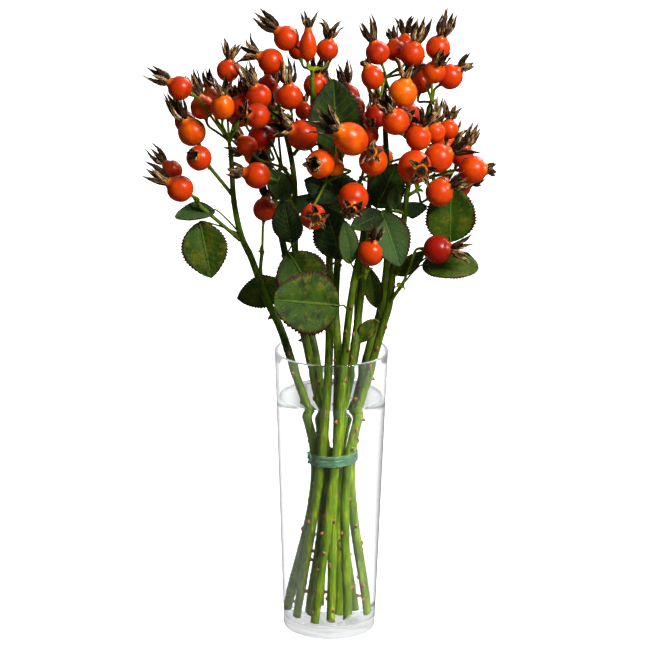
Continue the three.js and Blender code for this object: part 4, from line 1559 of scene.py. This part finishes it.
    def calyx(self, name: str, hip: Hip, draw: np.random.Generator) -> None:
        """Builds the dry sepals and stamens of one hip.

        Args:
            name: the piece's name.
            hip: the hip that they crown.
            draw: the truss's own random numbers.
        """
        way = unit(np.array(hip.crown, float))
        side = unit(np.cross(way, UP) if abs(way[2]) < 0.95 else np.cross(way, np.array((1.0, 0, 0))))
        other = np.cross(way, side)
        radius = hip.radius * MM
        top = place(hip.at) + way * radius * hip.tall * 1.21
        rim = 0.33 * radius
        shell = Shell()
        self.disc(shell, top, way, rim, draw)
        start = draw.random() * 2 * math.pi
        for k in range(hip.calyx.count):
            turn = start + 2 * math.pi * (k + 0.35 * (draw.random() - 0.5)) / hip.calyx.count
            out = math.cos(turn) * side + math.sin(turn) * other
            self.sepal(shell, top + out * rim, way, out, radius, hip.calyx, draw)
        for _ in range(self.stamens):
            turn, lean = draw.random() * 2 * math.pi, 0.2 + 0.75 * draw.random()
            out = math.cos(turn) * side + math.sin(turn) * other
            length = radius * (0.22 + 0.3 * draw.random())
            tip = way * math.cos(lean) + out * math.sin(lean)
            foot = top + out * rim * 0.75 * draw.random()
            path = np.array([foot, foot + way * length * 0.5 + out * length * 0.1, foot + tip * length])
            shell.bar(path, np.array((0.16, 0.13, 0.2)) * MM, 4, across=0.0, along=0.2, seed=1.0,
                      tone=0.2 + 0.9 * draw.random())
        shell.piece(name, SEPAL.material, "sepal")

    @staticmethod
    def disc(shell: Shell, top: np.ndarray, way: np.ndarray, rim: float, draw: np.random.Generator) -> None:
        """Adds the dark dome that the stamens stand on.

        Args:
            shell: the shell to add to.
            top: the middle of the crown.
            way: the crown's axis.
            rim: the crown's radius.
            draw: the truss's own random numbers.
        """
        path = np.array([top - way * rim * 0.35, top, top + way * rim * 0.2, top + way * rim * 0.3])
        shell.bar(path, rim * np.array((0.98, 1.06, 0.8, 0.25)), 14, across=0.0, along=0.0, seed=2.0,
                  tone=0.05 + 0.1 * draw.random())

    def sepal(self, shell: Shell, foot: np.ndarray, way: np.ndarray, out: np.ndarray, radius: float,
              calyx: Calyx, draw: np.random.Generator) -> None:
        """Adds one sepal, narrow and cupped, that ends in a thin tail, with two side threads.

        Args:
            shell: the shell to add to.
            foot: where it starts on the crown's rim.
            way: the crown's axis.
            out: outwards from the axis at the foot.
            radius: the hip's radius.
            calyx: how the sepals stand.
            draw: the truss's own random numbers.
        """
        length = radius * calyx.length * (0.75 + 0.4 * draw.random())
        turn, sway = 0.3 * (draw.random() - 0.5), 0.5 * (draw.random() - 0.5)
        rows, side, phase = self.sepal_rows, np.cross(way, out), 6 * draw.random()
        spot, path = foot - way * 0.06 * radius, []
        for i in range(rows):
            share = i / (rows - 1)
            angle = calyx.angle(share) + turn * share + 0.14 * math.sin(7 * share + phase)
            step = way * math.cos(angle) + out * math.sin(angle) + side * sway * share
            path.append(spot)
            spot = spot + unit(step) * length / (rows - 1)
        share = np.linspace(0, 1, rows)
        half = radius * (0.26 + 0.12 * draw.random())
        widths = half * (0.62 + 1.5 * share) * np.clip(1.02 - share, 0, 1) ** 1.35 * 1.3 + 0.10 * MM
        widths *= 1 + 0.22 * np.array([wobble(phase, s, 16) for s in share])
        turns = np.arange(self.sepal_sides) * 2 * math.pi / self.sepal_sides
        cup, twist = 0.55 + 0.45 * draw.random(), 1.3 * (draw.random() - 0.5)
        sections = np.empty((rows, self.sepal_sides, 2))
        for i, s in enumerate(share):
            across = widths[i] * np.cos(turns) * (1 - 0.25 * cup)
            crimp = 0.14 * widths[i] * np.sin(8 * s + phase + 3.5 * np.cos(turns))
            deep = 0.16 * MM * np.sin(turns) + cup * widths[i] * (0.5 - np.cos(turns) ** 2) + crimp
            c, sn = math.cos(twist * s * s), math.sin(twist * s * s)
            sections[i] = np.stack((deep * c - across * sn, deep * sn + across * c), axis=1)
        tone, seed = draw.random(), draw.random() * 5
        shell.loft(np.array(path), sections, out, across=np.cos(turns)[None], along=share[:, None],
                   seed=seed, tone=tone)
        for sign in (-1, 1):
            self.thread(shell, path, side * sign, length, tone, draw)

    @staticmethod
    def thread(shell: Shell, path: list[np.ndarray], side: np.ndarray, length: float, tone: float,
               draw: np.random.Generator) -> None:
        """Adds a thin side lobe that leaves a sepal part of the way up.

        Args:
            shell: the shell to add to.
            path: the samples of the sepal's middle line.
            side: the way out of the sepal's edge.
            length: the sepal's length.
            tone: how light it is.
            draw: the truss's own random numbers.
        """
        i = int(3 + 5 * draw.random())
        ahead = unit(path[i + 1] - path[i])
        reach = length * (0.2 + 0.25 * draw.random())
        middle = path[i] + ahead * reach * 0.5 + side * reach * 0.28
        end = path[i] + ahead * reach + side * reach * 0.3
        route = smooth_route([path[i], middle, end], reach / 5)
        radii = np.linspace(0.26, 0.08, len(route)) * MM
        shell.bar(route, radii, 5, across=0.3, along=0.5, seed=3.0, tone=tone)


@dataclass
class LeafBuilder:
    """Builds serrated leaflets with their stalks."""

    teeth: int = 19
    rows_per_tooth: int = 4
    half_columns: int = 7
    thickness: float = 0.32 * MM
    quilting: float = 0.45 * MM
    groove: float = 0.35 * MM
    waviness: float = 1.6 * MM
    sag: float = 0.12
    vein_pairs: float = BLADE.vein_pairs

    def outline(self, share: np.ndarray, seed: float, blunt: bool) -> np.ndarray:
        """Works out the blade's toothed outline.

        Args:
            share: places along the midrib, from 0 to 1.
            seed: its own noise.
            blunt: True for a leaflet with a round tip.

        Returns:
            The half width at each place, from 0 to about 1.
        """
        power = np.where(share > 0.5, 0.46, 0.66) if blunt else np.full_like(share, 0.72)
        body = np.maximum(np.sin(math.pi * np.clip(share, 0, 1) ** 0.88), 0) ** power
        saw = (share * self.teeth + 0.25 * np.sin(9 * share + seed)) % 1.0
        return body * (1 + 0.10 * (saw ** 1.4 - 0.4))

    def surface(self, leaf: Leaf, seed: float) -> tuple[np.ndarray, np.ndarray, np.ndarray]:
        """Works out the blade's upper surface.

        Args:
            leaf: the leaflet.
            seed: its own noise.

        Returns:
            The points by row and column, and their along and across values.
        """
        foot, tip = place(leaf.foot), place(leaf.tip)
        spine = tip - foot
        length = float(np.linalg.norm(spine))
        up = unit(spine)
        right = unit(np.cross(up, np.array(leaf.face, float)))
        face = np.cross(right, up)
        along = np.linspace(0, 1, self.teeth * self.rows_per_tooth + 1)
        across = np.linspace(-1, 1, 2 * self.half_columns + 1)
        half = leaf.width * MM / 2 * self.outline(along, seed, leaf.blunt)
        s, t = np.meshgrid(along, across, indexing="ij")
        x = half[:, None] * t
        veins = ((s - 0.3 * np.abs(t) ** 1.25) * self.vein_pairs) % 1.0
        quilt = self.quilting * np.sin(math.pi * veins) * (1 - np.abs(t) ** 4) * np.minimum(1, np.abs(t) * 5)
        groove = -self.groove * np.exp(-(t / 0.07) ** 2)
        wave = np.array([[noise.noise(Vector((a * 2.2 + seed, b * 1.3, seed * 2))) for b in across]
                         for a in along])
        z = leaf.fold * np.abs(x) - self.sag * length * (s - 0.5) ** 2 + quilt + groove
        z += self.waviness * wave * (0.3 + np.abs(t))
        spots = foot + s[..., None] * spine + x[..., None] * right + z[..., None] * face
        return spots, s, t

    def build(self, leaf: Leaf, number: int) -> None:
        """Builds one leaflet.

        Args:
            leaf: its place and size.
            number: which leaflet it is, for its own noise.
        """
        seed = number * 1.7
        spots, along, across = self.surface(leaf, seed)
        rows, columns = along.shape
        normals = np.cross(np.gradient(spots, axis=0), np.gradient(spots, axis=1))
        normals /= np.maximum(np.linalg.norm(normals, axis=2, keepdims=True), 1e-12)
        facing = np.array(leaf.face, float)
        if float((normals.reshape(-1, 3) @ facing).mean()) < 0:
            normals = -normals
        upper, lower = spots, spots - normals * self.thickness
        size = rows * columns
        faces: list[tuple[int, ...]] = []
        for i in range(rows - 1):
            for j in range(columns - 1):
                a, d = i * columns + j, (i + 1) * columns + j
                b, c = a + 1, d + 1
                faces += [(a, d, c, b), (size + a, size + b, size + c, size + d)]
        ring = [*range(columns)] + [i * columns + columns - 1 for i in range(1, rows)]
        ring += [(rows - 1) * columns + j for j in range(columns - 2, -1, -1)]
        ring += [i * columns for i in range(rows - 2, 0, -1)]
        for a, b in zip(ring, ring[1:] + ring[:1]):
            faces.append((a, b, size + b, size + a))
        points = np.concatenate((upper.reshape(-1, 3), lower.reshape(-1, 3)))
        light, blotched, grey = leaf.tone.value
        under = np.concatenate((np.full(size, grey), np.ones(size)))
        shell = Shell()
        shell.add(points, faces, along=np.tile(along.reshape(-1), 2), across=np.tile(across.reshape(-1), 2),
                  under=under, tone=light, blotch=blotched)
        self.stalk(shell, leaf, light)
        shell.piece(f"{leaf.name}_blade", BLADE.material, "leaf", leaf.name)

    @staticmethod
    def stalk(shell: Shell, leaf: Leaf, light: float) -> None:
        """Adds the leaf stalk from the cane to the blade's foot.

        Args:
            shell: the shell to add to.
            leaf: the leaflet.
            light: how light the blade is.
        """
        root, foot, tip = place(leaf.root), place(leaf.foot), place(leaf.tip)
        bends = [root, root + (foot - root) * 0.6 + UP * 1.5 * MM, foot, foot + (tip - foot) * 0.12]
        path = smooth_route(bends, 1.0 * MM)
        shell.bar(path, np.linspace(0.85, 0.55, len(path)) * MM, 9, along=0.0, across=0.02, under=0.0,
                  tone=light + 0.3, blotch=0.0)


# ---------------------------------------------------------------- studio

@dataclass(frozen=True)
class Softbox:
    """A square soft lamp: its name, its place and side in metres, and its watts."""

    name: str
    at: Triple
    size: float
    power: float


@dataclass
class Studio:
    """The camera, the soft lamps, the white surround and the floor."""

    distance: float = 3.6
    height: float = 1.3685
    aim_height: float = 0.2548
    shift_left: float = 0.0072
    lens: float = 265.9
    sensor: float = 36.0
    farthest: float = 50.0
    roll: float = math.radians(0.42)
    floor_reach: float = 12.0
    lamps: tuple[Softbox, ...] = (Softbox("key_softbox", (1.55, -1.5, 2.1), 0.9, 125.0),
                                  Softbox("rear_softbox", (1.3, 1.9, 1.8), 1.2, 40.0))
    lit_point: Triple = (0.0, 0.0, 0.38)
    bounces: int = 24
    clear_bounces: int = 20

    def build(self) -> None:
        """Sets up everything that isn't the object."""
        self.camera()
        self.floor()
        self.surround()
        for softbox in self.lamps:
            self.lamp(softbox)
        scene = bpy.context.scene
        scene.view_settings.view_transform = "Standard"
        scene.cycles.max_bounces = self.bounces
        scene.cycles.glossy_bounces = self.clear_bounces
        scene.cycles.transmission_bounces = self.clear_bounces
        scene.cycles.transparent_max_bounces = self.bounces

    def camera(self) -> None:
        """Places the camera in front, looking a little down."""
        data = bpy.data.cameras.new("camera")
        data.lens, data.sensor_width, data.clip_end = self.lens, self.sensor, self.farthest
        camera = bpy.data.objects.new("camera", data)
        camera.location = (-self.shift_left, -self.distance, self.height)
        aim = Vector((-self.shift_left, 0, self.aim_height)) - camera.location
        turn = aim.to_track_quat("-Z", "Y")
        camera.rotation_euler = turn.to_euler()
        camera.rotation_euler.rotate_axis("Z", self.roll)
        bpy.context.scene.collection.objects.link(camera)
        bpy.context.scene.camera = camera

    def floor(self) -> None:
        """Lays a wide white floor."""
        mesh = bpy.data.meshes.new("floor")
        reach = self.floor_reach
        corners = [(-reach, -reach, 0), (reach, -reach, 0), (reach, reach, 0), (-reach, reach, 0)]
        mesh.from_pydata(corners, [], [(0, 1, 2, 3)])
        mesh.materials.append(FLOOR.material)
        floor = bpy.data.objects.new("floor", mesh)
        bpy.context.scene.collection.objects.link(floor)

    def lamp(self, softbox: Softbox) -> None:
        """Adds a softbox that faces the bunch.

        Args:
            softbox: the lamp's place, size and power.
        """
        data = bpy.data.lights.new(softbox.name, "AREA")
        data.size, data.energy = softbox.size, softbox.power
        lamp = bpy.data.objects.new(softbox.name, data)
        lamp.location = softbox.at
        aim = Vector(self.lit_point) - Vector(softbox.at)
        lamp.rotation_euler = aim.to_track_quat("-Z", "Y").to_euler()
        bpy.context.scene.collection.objects.link(lamp)

    def surround(self) -> None:
        """Makes a white backdrop that lights the object more from above and from the right."""
        world = bpy.data.worlds.new("surround")
        bpy.context.scene.world = world
        world.use_nodes = True
        world.node_tree.nodes.clear()
        sheet = Sheet(world.node_tree)
        sky = sheet.add("ShaderNodeTexCoord").outputs["Generated"]
        way = sheet.add("ShaderNodeSeparateXYZ", {0: sky}).outputs
        right = sheet.ramp(way["X"], -0.9, 0.9, 0.45, 1.3)
        tilt = sheet.maths("MULTIPLY", right, sheet.ramp(way["Z"], -0.5, 0.8, 0.45, 1.3))
        diffuse = sheet.maths("MULTIPLY", sheet.ramp(way["Y"], -0.2, 0.5, 0.17, 0.30), tilt)
        mirrored = sheet.maths("MULTIPLY", sheet.ramp(way["Y"], -0.2, 0.6, 0.16, 0.5), tilt)
        through = sheet.ramp(way["Y"], -0.1, 0.8, 0.4, 1.0)
        matt = sheet.maths("GREATER_THAN", sheet.add("ShaderNodeLightPath").outputs["Diffuse Depth"], 0.5)
        clear, level = sheet.within(way["Y"])
        strength = mirrored
        for share, value in ((matt, diffuse), (clear, level), (sheet.direct("Is Transmission Ray"), through),
                             (sheet.direct("Is Camera Ray"), 1.0)):
            strength = sheet.blend(share, strength, value)
        glow = sheet.add("ShaderNodeBackground", {"Color": (1, 1, 1, 1), "Strength": strength}).outputs[0]
        sheet.add("ShaderNodeOutputWorld", {"Surface": glow})


def main() -> None:
    """Builds the studio, the vase and the bunch, piece by piece."""
    logging.basicConfig(level=logging.INFO, format="%(name)s %(message)s")
    Studio().build()
    vase = Vase()
    vase.build_glass()
    vase.build_water()
    grip = Grip()
    Tie(grip).build()
    canes = CaneBuilder(grip)
    for number, cane in enumerate(CANES):
        canes.build(cane, number)
    trusses = TrussBuilder()
    for number, truss in enumerate(TRUSSES):
        trusses.build(truss, number)
    leaves = LeafBuilder()
    for number, leaf in enumerate(LEAVES):
        leaves.build(leaf, number)


if __name__ == "__main__":
    main()
